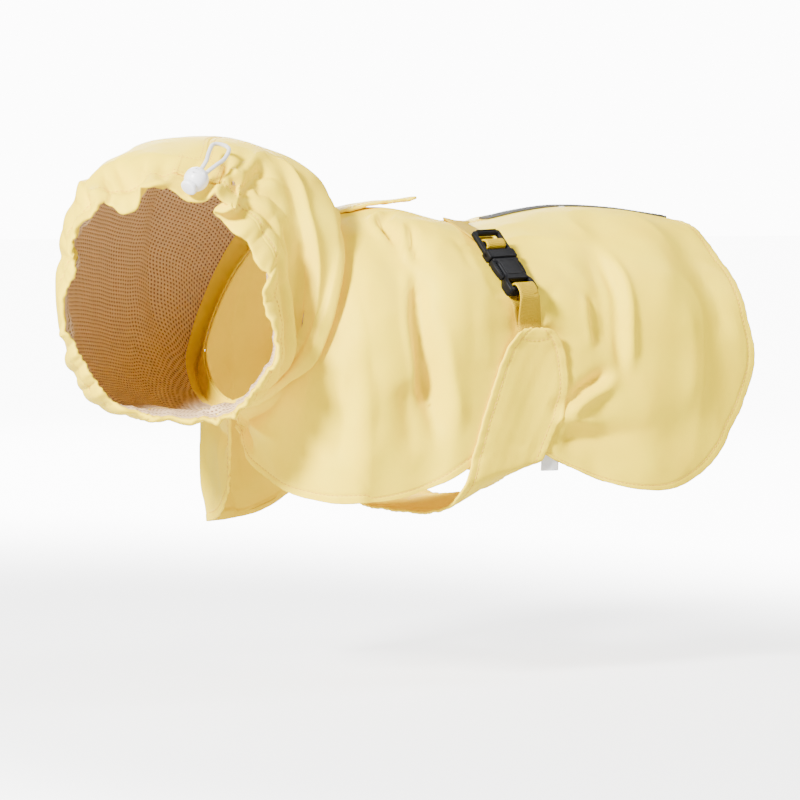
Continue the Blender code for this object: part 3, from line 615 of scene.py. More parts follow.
def cloth(name: str, grid: Array, wall: float, materials: Sequence[Material],
          closed: bool = False, edge: Edge = Edge.RIGHT, thick: Optional[Array] = None,
          lined: slice = slice(None)) -> Piece:
    """Cloth wall behind a grid, with a rounded rim.

    Args:
        name: the piece's name.
        grid: points on the outer face, rows down and columns across.
        wall: thickness.
        materials: the outer finish, and the inner one where it differs.
        closed: whether the last column meets the first.
        edge: which way the columns run.
        thick: extra thickness at each point.
        lined: rows that have the inner finish.

    Returns:
        The new object.
    """
    index, turned = numbered(grid), numbered(grid, 0, int(closed))
    size = index.size
    depth = wall if thick is None else wall + thick[..., None]
    inner = grid - grid_normals(grid, closed, edge) * depth
    quads = panes(turned)
    faces = [quads, quads[:, ::-1] + size]
    slots = np.zeros((2, len(grid) - 1, turned.shape[1] - 1))
    slots[1, lined] = len(materials) - 1
    out = np.zeros_like(grid)
    out[0] += unit(grid[0] - grid[1])
    out[-1] += unit(grid[-1] - grid[-2])
    loops = [index[0], index[-1]]
    if not closed:
        out[:, 0] += unit(grid[:, 0] - grid[:, 1])
        out[:, -1] += unit(grid[:, -1] - grid[:, -2])
        loops = [np.concatenate((index[0], index[1:, -1], index[-1, -2::-1],
                                 index[-2:0:-1, 0]))]
    points = [grid.reshape(-1, 3), inner.reshape(-1, 3)]
    where = flat_map(grid)
    maps = [where, where]
    total = 2 * size
    for loop in loops:
        middle = (points[0][loop] + points[1][loop]) / 2
        points.append(middle + unit(out.reshape(-1, 3)[loop]) * wall * 0.42)
        maps.append(where[loop])
        here = total + np.arange(len(loop))
        after, ahead = np.roll(loop, -1), np.roll(here, -1)
        rim = np.array(((loop, after, ahead, here), (here, ahead, after + size, loop + size)))
        faces.append(rim.transpose(2, 0, 1).reshape(-1, 4))
        total += len(loop)
    faces = np.concatenate(faces)
    slots = np.concatenate((slots.ravel(), np.zeros(len(faces) - slots.size)))
    return mesh_piece(name, np.concatenate(points), faces.tolist(), materials,
                      np.concatenate(maps), slots)


def tube(name: str, grid: Array, material: Material) -> Piece:
    """Ring-shaped tube, closed both ways round."""
    return mesh_piece(name, grid.reshape(-1, 3), panes(numbered(grid, 1, 1)).tolist(),
                      [material], flat_map(grid))


@dataclass
class StitchRun:
    """Row of stitches laid along lines on the cloth."""

    pitch: float = 2.9
    length: float = 2.1
    radius: float = 0.27

    def tree(self, material: Material) -> bpy.types.NodeTree:
        """Node tree that lays one stitch at every pitch along a curve."""
        tree = bpy.data.node_groups.new("stitch_run", "GeometryNodeTree")
        for name, kind, way in (("Lines", "Geometry", "INPUT"), ("Pitch", "Float", "INPUT"),
                                ("Length", "Float", "INPUT"), ("Radius", "Float", "INPUT"),
                                ("Stitches", "Geometry", "OUTPUT")):
            tree.interface.new_socket(name, in_out=way, socket_type="NodeSocket" + kind)
        n = Nodes(tree)
        given = n.add("NodeGroupInput").outputs
        places = n.add("GeometryNodeResampleCurve", mode="LENGTH", Curve=given["Lines"],
                       Length=given["Pitch"])
        bead = n.add("GeometryNodeMeshUVSphere", Segments=6, Rings=4, Radius=1.0)
        size = n.add("ShaderNodeCombineXYZ", X=given["Radius"], Y=given["Radius"],
                     Z=n.math("MULTIPLY", given["Length"], 0.5))
        aim = n.add("FunctionNodeAlignRotationToVector", axis="Z",
                    Vector=n.add("GeometryNodeInputTangent").outputs[0])
        laid = n.add("GeometryNodeInstanceOnPoints", Points=places.outputs[0],
                     Instance=bead.outputs[0], Rotation=aim.outputs[0],
                     Scale=size.outputs[0])
        real = n.add("GeometryNodeRealizeInstances", Geometry=laid.outputs[0])
        paint = n.add("GeometryNodeSetMaterial", Geometry=real.outputs[0], Material=material)
        n.add("NodeGroupOutput", Stitches=paint.outputs[0])
        return tree

    def sew(self, name: str, lines: Sequence[Array], material: Material) -> Piece:
        """Stitches along lines, as one plain mesh.

        Args:
            name: the piece's name.
            lines: courses on the cloth's face, in millimetres.
            material: the thread.

        Returns:
            The new object.
        """
        source = linked(name + "_lines", poly_curve(name + "_lines", lines, False))
        source.data.dimensions = "3D"
        modifier = source.modifiers.new("stitches", "NODES")
        modifier.node_group = self.tree(material)
        sockets = {s.name: s.identifier for s in modifier.node_group.interface.items_tree
                   if s.in_out == "INPUT"}
        for key, value in (("Pitch", self.pitch), ("Length", self.length),
                           ("Radius", self.radius)):
            modifier[sockets[key]] = value * MM
        mesh = plain_mesh(source)
        mesh.name = name
        mesh.shade_smooth()
        return linked(name, mesh)


def moulded(name: str, outlines: Sequence[Outline], depth: float, lift: float, rim: float,
            frame: Matrix, material: Material) -> Piece:
    """Flat plastic shape with rounded rims; outlines after the first are its holes.

    Args:
        name: the piece's name.
        outlines: corners of the outline and of each hole.
        depth: thickness.
        lift: height of its middle over the frame's middle plane.
        rim: radius of the rounded rim.
        frame: where it goes.
        material: its plastic.

    Returns:
        The new object.
    """
    curve = poly_curve(name, [[(x, y, 0.0) for x, y in line] for line in outlines], True)
    curve.dimensions, curve.fill_mode = "2D", "BOTH"
    curve.extrude = (depth / 2 - rim) * MM
    curve.bevel_depth, curve.bevel_resolution, curve.offset = rim * MM, 3, -rim * MM
    mesh = plain_mesh(linked(name, curve))
    mesh.transform(frame @ Matrix.Translation((0, 0, lift * MM)))
    turn_out(mesh, 1e-6)
    mesh.materials.clear()
    mesh.materials.append(material)
    mesh.shade_smooth()
    mesh.set_sharp_from_angle(angle=SHARP)
    return linked(name, mesh)


def rounded(corners: Outline, radius: float, steps: int = 4) -> Outline:
    """Outline with each corner turned on a radius."""
    made, count = [], len(corners)
    for k, corner in enumerate(corners):
        here = Vector(corner)
        sides = [Vector(corners[m]) - here for m in (k - 1, (k + 1) % count)]
        reach = min(radius, *(side.length * 0.45 for side in sides))
        a, b = (here + side.normalized() * reach for side in sides)
        for s in range(steps + 1):
            t = s / steps
            made.append(tuple(a * (1 - t) ** 2 + here * 2 * t * (1 - t) + b * t * t))
    return made


def box(left: float, right: float, low: float, high: float, radius: float = 0.8) -> Outline:
    """Rectangle with rounded corners."""
    return rounded([(left, low), (right, low), (right, high), (left, high)], radius)


def joined(name: str, pieces: Sequence[Piece]) -> Piece:
    """One object from several."""
    with bpy.context.temp_override(active_object=pieces[0], object=pieces[0],
                                   selected_editable_objects=list(pieces),
                                   selected_objects=list(pieces)):
        bpy.ops.object.join()
    pieces[0].name = pieces[0].data.name = name
    return pieces[0]


def settle(piece: Piece, slot: str, *nodes: str) -> None:
    """Let a piece ride on the coat and stand for its nodes."""
    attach(piece, "root")
    if nodes:
        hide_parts(*nodes)
    LOG.info("%s: %d triangles", piece.name,
             sum(len(p.vertices) - 2 for p in piece.data.polygons))


def settle_sheet(piece: Piece, slot: str, grid: Array,
                 sewn: Optional[Piece] = None) -> None:
    """Args:
        piece: the sheet, named after its node and what it's made of.
        slot: its material slot, not used.
        grid: its outer face, not used.
        sewn: its stitches.
    """
    settle(piece, slot, piece.name.rsplit("_", 1)[0])
    extra = [sewn] if sewn else []
    for stitches in extra:
        settle(stitches, slot)


# --- the coat's form

@dataclass(frozen=True)
class CoatForm:
    """Smooth general form that the cape lies on, with its folds.

    A station is a place along it: 0 at the shoulder, behind it in mm, and round the chest
    below 0. q counts down a section: 0 on the spine, 1 on the widest line.
    """

    pole_x: float = -55.0
    chest_reach: float = 50.0
    chest_arc: float = 120.0
    drop: float = 100.0
    sections: Table = Table(
        ("station", "half_width", "top", "widest", "flare", "square"),
        ((0, 98, -6, -125, -4, 2.0), (25, 102, -3, -108, -2, 2.0), (55, 104, 0, -84, 2, 2.2),
         (88, 101, -7, -78, 2, 2.2), (112, 97, -11.5, -76, 3, 2.2), (135, 99, -8, -76, 3, 2.2),
         (160, 101, -3, -78, 3, 2.2), (190, 103, 0.5, -80, 2, 2.2), (230, 101, -1, -82, 0, 2.2),
         (262, 97, -5, -86, -2, 2.1), (284, 93, -8, -90, -4, 2.0)))
    neck: Table = Table(
        ("angle", "station", "z"),
        ((0, 3, -5.64), (20, 1, -9), (45, -16, -20), (68, -34, -39), (90, -48, -62),
         (115, -62, -88), (140, -84, -108), (162, -104, -119), (180, -119, -124)))
    ribs: tuple[tuple[float, ...], ...] = (
        (0, 281, -7.5, 281, -7.5), (5, 278, -14, 278, -14), (10, 277, -29, 277, -29),
        (16, 281, -48, 281, -48), (22, 284, -68, 284, -68), (28, 288, -88, 288, -88),
        (34, 289, -106, 289, -106), (40, 284, -124, 284, -124), (46, 273, -145, 273, -146),
        (52, 252, -169, 252, -170), (59, 222, -182, 222, -183), (67, 185, -181, 185, -182),
        (76, 148, -169, 148, -170), (85, 113, -153, 113, -156), (94, 80, -157, 82, -164),
        (104, 50, -171, 52, -188), (116, 18, -182, 18, -204), (128, -12, -184, -14, -207),
        (140, -40, -184, -42, -207), (152, -66, -180, -68, -205), (163, -88, -171, -88, -201),
        (172, -104, -159, -102, -192), (180, -115, -141, -111, -178))
    folds: tuple[tuple[float, ...], ...] = (
        (NEAR, 33, -40, 34, -112, 3.2, 16), (NEAR, 34, -112, 40, -165, 3.6, 16),
        (NEAR, 62, -60, 64, -150, -2.0, 15), (NEAR, 68, -8, 34, -34, 2.0, 14),
        (NEAR, 8, -60, -2, -150, -2.4, 18), (NEAR, -28, -95, -30, -178, 2.6, 18),
        (NEAR, -66, -115, -60, -170, -2.2, 17), (NEAR, 185, -16, 162, -76, 3.0, 15),
        (NEAR, 214, -30, 208, -120, -2.6, 18), (NEAR, 140, -140, 178, -104, 3.0, 14),
        (NEAR, 162, -158, 214, -150, 2.8, 16), (NEAR, 246, -40, 264, -124, 2.6, 16),
        (FAR, 30, -44, 36, -140, 3.4, 16), (FAR, 60, -80, 64, -172, -2.4, 15),
        (FAR, 70, -10, 40, -36, 2.0, 14), (FAR, -24, -90, -20, -196, 2.8, 18),
        (FAR, -62, -110, -56, -196, -2.2, 17), (FAR, 176, -20, 158, -84, 2.6, 15),
        (FAR, 208, -30, 214, -120, -2.4, 18), (FAR, 134, -150, 176, -112, 2.6, 15),
        (FAR, 250, -46, 258, -126, 2.4, 16))
    slot: tuple[float, float, float] = (22.0, 54.0, 4.6)
    strap_station: float = 95.0
    strap_half: float = 15.0
    band_more: float = 21.0
    band_back: float = 19.0
    band_fore: float = 26.0
    spine_half: float = 10.0
    fade: float = 9.0
    gap: float = 0.3

    def q_at(self, station: Array, z: Array) -> Array:
        """How far down a section a height lies."""
        form = self.sections.at(np.maximum(station, 0.0))
        share = np.clip((form["top"] - z) / (form["top"] - form["widest"]), 0, 1)
        upper = np.arccos((1 - share) ** (form["square"] / 2)) / (math.pi / 2)
        return np.where(z < form["widest"], 1 + (form["widest"] - z) / self.drop, upper)

    def bare(self, station: Array, q: Array, side: Array) -> Array:
        """Point of the smooth form, before any fold."""
        station, q, side = np.broadcast_arrays(*(np.asarray(v, float)
                                                 for v in (station, q, side)))
        form = self.sections.at(np.maximum(station, 0.0))
        turn = math.pi / 2 * np.maximum(-station, 0.0) / self.chest_arc
        angle, power = np.clip(q, 0, 1) * math.pi / 2, 2 / form["square"]
        below = np.maximum(q - 1, 0.0)
        reach = np.abs(np.sin(angle)) ** power + form["flare"] * below / form["half_width"]
        fall = 1 - np.abs(np.cos(angle)) ** power
        z = form["top"] - (form["top"] - form["widest"]) * fall - below * self.drop
        x = self.pole_x + np.maximum(station, 0.0) - self.chest_reach * np.sin(turn) * reach
        return np.stack((x, side * form["half_width"] * np.cos(turn) * reach, z), -1)

    def outward(self, station: Array, q: Array, side: Array) -> Array:
        """Unit direction away from the wearer."""
        along = self.bare(station + 0.5, q, side) - self.bare(station - 0.5, q, side)
        tick = 0.5 / self.drop
        down = self.bare(station, q + tick, side)
        down = down - self.bare(station, np.maximum(q - tick, 0.0), side)
        return unit(np.cross(along, down) * np.asarray(side, float)[..., None])

    def pressed(self, station: Array, q: Array, side: Array) -> Array:
        """1 where the band, the strap or the strip keeps the cape smooth."""
        spine = bell(np.maximum(q * self.drop - self.spine_half, 0.0), self.fade)
        low = np.clip((q - 0.5) / 0.4, 0.0, 1.0)
        middle = (self.strap_station + self.band_back * low
                  - self.band_fore * np.maximum(q - 1.1, 0.0))
        away = np.maximum(np.abs(station - middle) - (self.strap_half + self.band_more * low),
                          0.0)
        return np.where((side > 0) & (q > 1), spine,
                        np.maximum(bell(away, self.fade), spine))

    def relief(self, station: Array, q: Array, side: Array) -> Array:
        """How far the folds lift the cape at a place."""
        lift = np.zeros(np.broadcast(station, q).shape)
        here = np.stack(np.broadcast_arrays(station, q * self.drop), -1)
        for hand, sa, za, sb, zb, depth, width in self.folds:
            a = np.array((sa, float(self.q_at(sa, za)) * self.drop))
            b = np.array((sb, float(self.q_at(sb, zb)) * self.drop))
            length = np.linalg.norm(b - a)
            way = (b - a) / length
            along = (here - a) @ way
            past = np.maximum(np.maximum(-along, along - length), 0.0)
            across = here - a - along[..., None] * way
            shape = np.exp(-(past / (width * 1.6)) ** 2 - (across ** 2).sum(-1) / width ** 2)
            lift = lift - depth * shape * (np.asarray(side) == hand)
        return lift * (1 - self.pressed(station, q, side))

    def on(self, station: Array, q: Array, side: Array, height: Array = 0.0) -> Array:
        """Point of the cape's outer face, moved out by a height."""
        lift = self.relief(station, q, side) + height
        return self.bare(station, q, side) + self.outward(station, q, side) * lift[..., None]

    def neckline(self, angle: Array, side: Array, height: float) -> Array:
        """Point over the cape's neck edge."""
        neck = self.neck.at(angle)
        q = np.where(angle > 0, self.q_at(neck["station"], neck["z"]), 0.0)
        return self.on(neck["station"], q, side, height)

    def rib_place(self, share: Array, down: Array, side: Array) -> tuple[Array, Array]:
        """Station and q on a rib, which runs from the neck down to the hem."""
        ribs = np.array(self.ribs, float)
        share, down, side = np.broadcast_arrays(share, down, side)
        made = smooth(np.arange(len(ribs)), ribs, share * (len(ribs) - 1))
        hem_station = np.where(side < 0, made[..., 1], made[..., 3])
        hem_z = np.where(side < 0, made[..., 2], made[..., 4])
        neck = self.neck.at(made[..., 0])
        off = share > 0
        neck_q = np.where(off, self.q_at(neck["station"], neck["z"]), 0.0)
        hem_q = np.where(off, self.q_at(hem_station, hem_z), 0.0)
        station = neck["station"] + (hem_station - neck["station"]) * down
        return station, neck_q + (hem_q - neck_q) * down

    def seam_half(self, station: Array) -> Array:
        """Half the centre-back seam's width, which opens into the leash slot."""
        start, end, half = self.slot
        opened = np.sin(math.pi * np.clip((station - start) / (end - start), 0, 1))
        return np.maximum(self.gap / 2, half * opened)

    def rib_number(self, angle: Array) -> Array:
        """Share of the way round at which a rib leaves the neck at an angle."""
        return smooth([row[0] for row in self.ribs], np.linspace(0, 1, len(self.ribs)), angle)


@dataclass
class Surface:
    """Finished outer face of a piece, kept as a regular grid."""

    rows: Array
    columns: Array
    grid: Array
    normals: Array

    def at(self, row: Array, column: Array, height: float = 0.0) -> Array:
        """Points at places on the grid, moved out by a height."""
        i = np.interp(row, self.rows, np.arange(len(self.rows)))
        j = np.interp(column, self.columns, np.arange(len(self.columns)))
        a = np.minimum(i.astype(int), len(self.rows) - 2)
        b = np.minimum(j.astype(int), len(self.columns) - 2)
        s, t = (i - a)[..., None], (j - b)[..., None]

        def mixed(data: Array) -> Array:
            """Value between four grid points."""
            return ((data[a, b] * (1 - s) + data[a + 1, b] * s) * (1 - t)
                    + (data[a, b + 1] * (1 - s) + data[a + 1, b + 1] * s) * t)

        return mixed(self.grid) + unit(mixed(self.normals)) * height


def hem_lift(gap: Array, along: Array, inset: float, seed: float,
             flutter: float = 1.0) -> Array:
    """Relief of a folded, stitched edge.

    Args:
        gap: distance from the edge.
        along: distance along it.
        inset: where its stitches are.
        seed: start of its pucker.
        flutter: how much the free edge waves.

    Returns:
        The height at each point.
    """
    groove = -0.45 * bell(gap - inset, 0.9)
    pucker = 0.42 * ripple(along, 8.5, seed) * bell(gap, inset * 1.3)
    wave = flutter * ripple(along, 46.0, seed + 1) * bell(gap, 24.0)
    return groove + pucker + wave


def inset_line(grid: Array, normals: Array, gap: Array, inset: float, rows: bool,
               height: float = 0.12) -> Array:
    """Line on the cloth at a distance from an edge.

    Args:
        grid: the outer face.
        normals: the way out of it.
        gap: each point's distance from the edge.
        inset: the distance wanted.
        rows: whether the edge is a row of the grid, and not a column.
        height: how far the line stands off the face.

    Returns:
        Points of the line.
    """
    if not rows:
        grid, normals, gap = grid.swapaxes(0, 1), normals.swapaxes(0, 1), gap.T
    made = []
    for j in range(grid.shape[1]):
        order = np.argsort(gap[:, j])
        if gap[order[-1], j] < inset:
            continue
        face = grid[order, j] + normals[order, j] * height
        made.append([np.interp(inset, gap[order, j], face[:, k]) for k in range(3)])
    return np.array(made)


def cloudy(points: Array, scale: tuple[float, float, float], seed: float) -> Array:
    """Slow uneven waves over a piece, about -1 to 1."""
    flat = points.reshape(-1, 3) / np.array(scale) + seed
    return np.array([noise.noise(p) for p in flat.tolist()]).reshape(points.shape[:-1]) * 1.6


@dataclass(frozen=True)
class Slack:
    """Slow waves of loose cloth; each kind has a height, a size and a seed."""

    swells: tuple[float, tuple[float, float, float], float]
    ridges: tuple[float, tuple[float, float, float], float]
    dents: tuple[float, tuple[float, float, float], float]

    def lift(self, points: Array, side: float = 1.0) -> Array:
        """Height of the waves at points; the side picks their course."""
        swells, ridges, dents = (cloudy(points, size, seed * side) for _, size, seed in
                                 (self.swells, self.ridges, self.dents))
        return (self.swells[0] * swells + self.ridges[0] * (0.4 - np.abs(ridges))
                + self.dents[0] * dents)


def seam_dip(away: Array, sewn: float) -> Array:
    """Depth of a seam and of the stitches beside it, by the distance from the seam."""
    return 0.5 * bell(away, 0.9) + 0.3 * bell(away - sewn, 0.8)


@dataclass
class Cape:
    """The cape's halves, with their hems and centre-back seam."""

    form: CoatForm
    finishes: Finishes
    columns: int = 190
    rows: int = 112
    hem_rows: int = 16
    wall: float = 1.2
    inset: float = 5.6
    strength: float = 1.9
    slack: Slack = Slack((1.7, (40, 40, 90), 3.1), (1.5, (25, 25, 80), 11.3),
                         (0.4, (17, 17, 34), 7.7))
    neck_fade: float = 12.0
    seam_inset: float = 3.4
    seam_run: tuple[float, float] = (2.0, 82.0)
    turning: float = 0.7
    creases: tuple[Crease, ...] = (
        Crease(((39, -38), (34, -71), (37, -104), (41, -128), (46, -160)), 4.0, 6.5,
               ends=(0.12, 0.45)),
        Crease(((36, -34), (27, -71), (30, -104), (34, -130)), 1.5, 3.4, Kind.ROLL,
               ends=(0.1, 0.4)),
        Crease(((48, -62), (50, -96), (53, -120), (59, -146)), -2.6, 6.0, ends=(0.4, 0.3)),
        Crease(((38, -92), (42, -120), (46, -150)), 1.6, 3.6),
        Crease(((20, -106), (24, -130), (30, -158)), 1.8, 9.0),
        Crease(((48, -2), (33, -10), (34, -24)), 2.0, 3.8, Kind.ROLL, ends=(0.25, 0.4)),
        Crease(((38, -4), (35, -16), (32, -30)), 1.8, 3.6, ends=(0.25, 0.4)),
        Crease(((50, -7), (42, -20), (38, -36)), 2.2, 3.6, Kind.ROLL, ends=(0.3, 0.3)),
        Crease(((77, -60), (79, -84), (80, -104)), -1.6, 5.5),
        Crease(((76, -18), (77, -30), (75, -44)), 1.4, 3.6, ends=(0.3, 0.5)),
        Crease(((167, -20), (168, -60), (171, -102)), 2.6, 9.0),
        Crease(((157, -52), (157, -72), (161, -94)), 1.6, 4.0, Kind.ROLL),
        Crease(((184, -112), (182, -84), (181, -50), (174, -20)), 2.4, 5.0, Kind.ROLL),
        Crease(((129, -134), (152, -120), (167, -112), (177, -103)), 3.4, 5.6, Kind.ROLL,
               ends=(0.05, 0.5)),
        Crease(((130, -135), (152, -137), (172, -140)), -2.2, 4.6, ends=(0.08, 0.5)),
        Crease(((126, -149), (165, -147), (214, -143)), 2.4, 8.0, ends=(0.1, 0.5)),
        Crease(((120, -76), (129, -58), (139, -46)), 2.4, 4.0, ends=(0.06, 0.5)),
        Crease(((124, -78), (138, -82), (154, -88)), 1.8, 4.2, ends=(0.06, 0.5)),
        Crease(((99, -68), (102, -74), (103, -82)), 1.8, 3.6),
        Crease(((96, -62), (90, -52), (84, -38)), 1.2, 4.4, ends=(0.08, 0.6)),
        Crease(((-112, -138), (-90, -127), (-70, -112)), 3.0, 5.5, ends=(0.05, 0.5)),
        Crease(((-113, -138), (-104, -147), (-98, -158)), 2.6, 3.4, ends=(0.05, 0.5)),
        Crease(((-108, -134), (-92, -140), (-74, -150)), -1.6, 5.0, ends=(0.08, 0.5)),
        Crease(((-40, -100), (-30, -130), (-34, -164)), 1.6, 9.0),
        Crease(((-6, -80), (4, -116), (0, -156)), 1.5, 10.0),
        Crease(((228, -56), (236, -96), (230, -140)), -1.4, 12.0),
        Crease(((252, -34), (262, -60), (266, -90)), 1.4, 8.0),
        Crease(((36, -40), (33, -90), (38, -150)), 3.0, 5.0, side=FAR, ends=(0.12, 0.4)),
        Crease(((50, -80), (54, -120), (58, -162)), -2.0, 5.0, side=FAR),
        Crease(((50, -5), (36, -14), (34, -28)), 2.0, 4.0, Kind.ROLL, FAR, (0.25, 0.4)),
        Crease(((172, -24), (168, -60), (174, -104)), 2.2, 9.0, side=FAR),
        Crease(((182, -20), (188, -52), (186, -96)), 2.2, 5.0, Kind.ROLL, FAR),
        Crease(((128, -136), (160, -118), (184, -104)), 3.0, 5.0, Kind.ROLL, FAR, (0.1, 0.5)),
        Crease(((120, -60), (132, -46), (144, -36)), 1.8, 5.0, side=FAR, ends=(0.1, 0.5)),
        Crease(((-112, -150), (-86, -140), (-60, -132)), 2.4, 7.0, side=FAR, ends=(0.1, 0.5)),
        Crease(((-20, -96), (-8, -136), (-12, -184)), 1.8, 9.0, side=FAR),
        Crease(((224, -60), (236, -100), (226, -150)), -1.5, 12.0, side=FAR),
        Crease(((8, -110), (4, -150), (8, -190)), -1.4, 9.0, side=FAR),
        Crease(((-70, -140), (-64, -170), (-68, -198)), -1.4, 8.0, side=FAR),
    )
    trees: dict[float, BVHTree] = field(default_factory=dict)

    def face(self, side: float) -> tuple[Array, Array]:
        """Outer face of one half, and its thickness added at the hems."""
        down = np.concatenate((np.linspace(0, 0.955, self.rows, endpoint=False),
                               np.linspace(0.955, 1, self.hem_rows)))[:, None]
        station, q = self.form.rib_place(np.linspace(0, 1, self.columns)[None], down, side)
        base = self.form.on(station, q, side)
        out = self.form.outward(station, q, side)
        base[:, 0, 1] = side * self.form.seam_half(station[:, 0])
        lift = np.zeros(base[..., 0].size)
        for crease in self.creases:
            if crease.side == side:
                course = crease.course(26)
                line = self.form.on(course[:, 0], self.form.q_at(*course.T), side)
                lift += self.strength * crease.lift(line, base.reshape(-1, 3),
                                                    out.reshape(-1, 3))
        top, hem, start, front = edge_gaps(base)
        neck = step(top / self.neck_fade)
        free = (1 - self.form.pressed(station, q, side)) * neck
        lift = lift.reshape(free.shape) * np.clip(free * 2 + 0.35, 0, 1) * neck
        lift += self.slack.lift(base, side) * free
        lift += hem_lift(hem, start[-1][None], self.inset, 1.0 + side)
        lift += hem_lift(front, top, self.inset, 4.0 + side, 0.3)
        lift -= seam_dip(np.abs(base[..., 1]), self.seam_inset)
        thick = self.turning * step((self.inset + 0.6 - np.minimum(hem, front)) / 1.2)
        return base + out * lift[..., None], thick

    def build(self) -> None:
        """Both halves and the stitches round them."""
        for name, side, edge in (("cape_near_cloth", NEAR, Edge.LEFT),
                                 ("cape_far_cloth", FAR, Edge.RIGHT)):
            grid, thick = self.face(side)
            made = cloth(name, grid, self.wall, [self.finishes.shell], edge=edge, thick=thick)
            normals = grid_normals(grid, False, edge)
            _, hem, start, front = edge_gaps(grid)
            low = inset_line(grid[:, 1:], normals[:, 1:], hem[:, 1:], self.inset, True)
            fore = inset_line(grid[:-6], normals[:-6], front[:-6], self.inset, False)
            spine = inset_line(grid, normals, start, self.seam_inset, False)
            spine = spine[(spine[:, 0] > self.seam_run[0]) & (spine[:, 0] < self.seam_run[1])]
            sewn = StitchRun().sew(name + "_stitches", [low, fore, spine], self.finishes.thread)
            settle_sheet(made, "shell", grid, sewn)
            self.trees[side] = BVHTree.FromPolygons(grid.reshape(-1, 3).tolist(),
                                                    panes(numbered(grid)).tolist())

    def hit(self, start: Vector, way: Vector, side: float) -> Optional[Vector]:
        """Place where a line meets a half's outer face."""
        return self.trees[side].ray_cast(start, way, 80.0)[0]

    def stand(self, station: float, q: float, side: float) -> tuple[Vector, Vector]:
        """Point of the smooth form, and the way out of it."""
        return (Vector(self.form.bare(station, q, side)),
                Vector(self.form.outward(station, q, side)))

    def over(self, station: float, q: float, side: float, height: float) -> Vector:
        """Point over the outer face, or under it for a negative height."""
        form, out = self.stand(station, q, side)
        return (self.hit(form + out * PROBE, -out, side) or form) + out * height

    def at_height(self, station: float, z: float, side: float, height: float) -> Vector:
        """Point over the outer face where the form has a height z."""
        return self.over(station, float(self.form.q_at(station, z)), side, height)

    def strap(self, station: float, q: float, side: float, width: float,
              height: float) -> tuple[Vector, Vector]:
        """Middle of a strap that clears the cape, and the way across it."""
        form, out = self.stand(station, q, side)
        way, top = Vector(self.form.bare(station + width / 2, q, side)
                          - self.form.bare(station - width / 2, q, side)).normalized(), 0.0
        for aside in np.linspace(-0.5, 0.5, 5) * width:
            face = self.hit(form + way * float(aside) + out * PROBE, -out, side)
            if face:
                top = max(top, (face - form).dot(out))
        return form + out * (top + height), way


# --- the hood

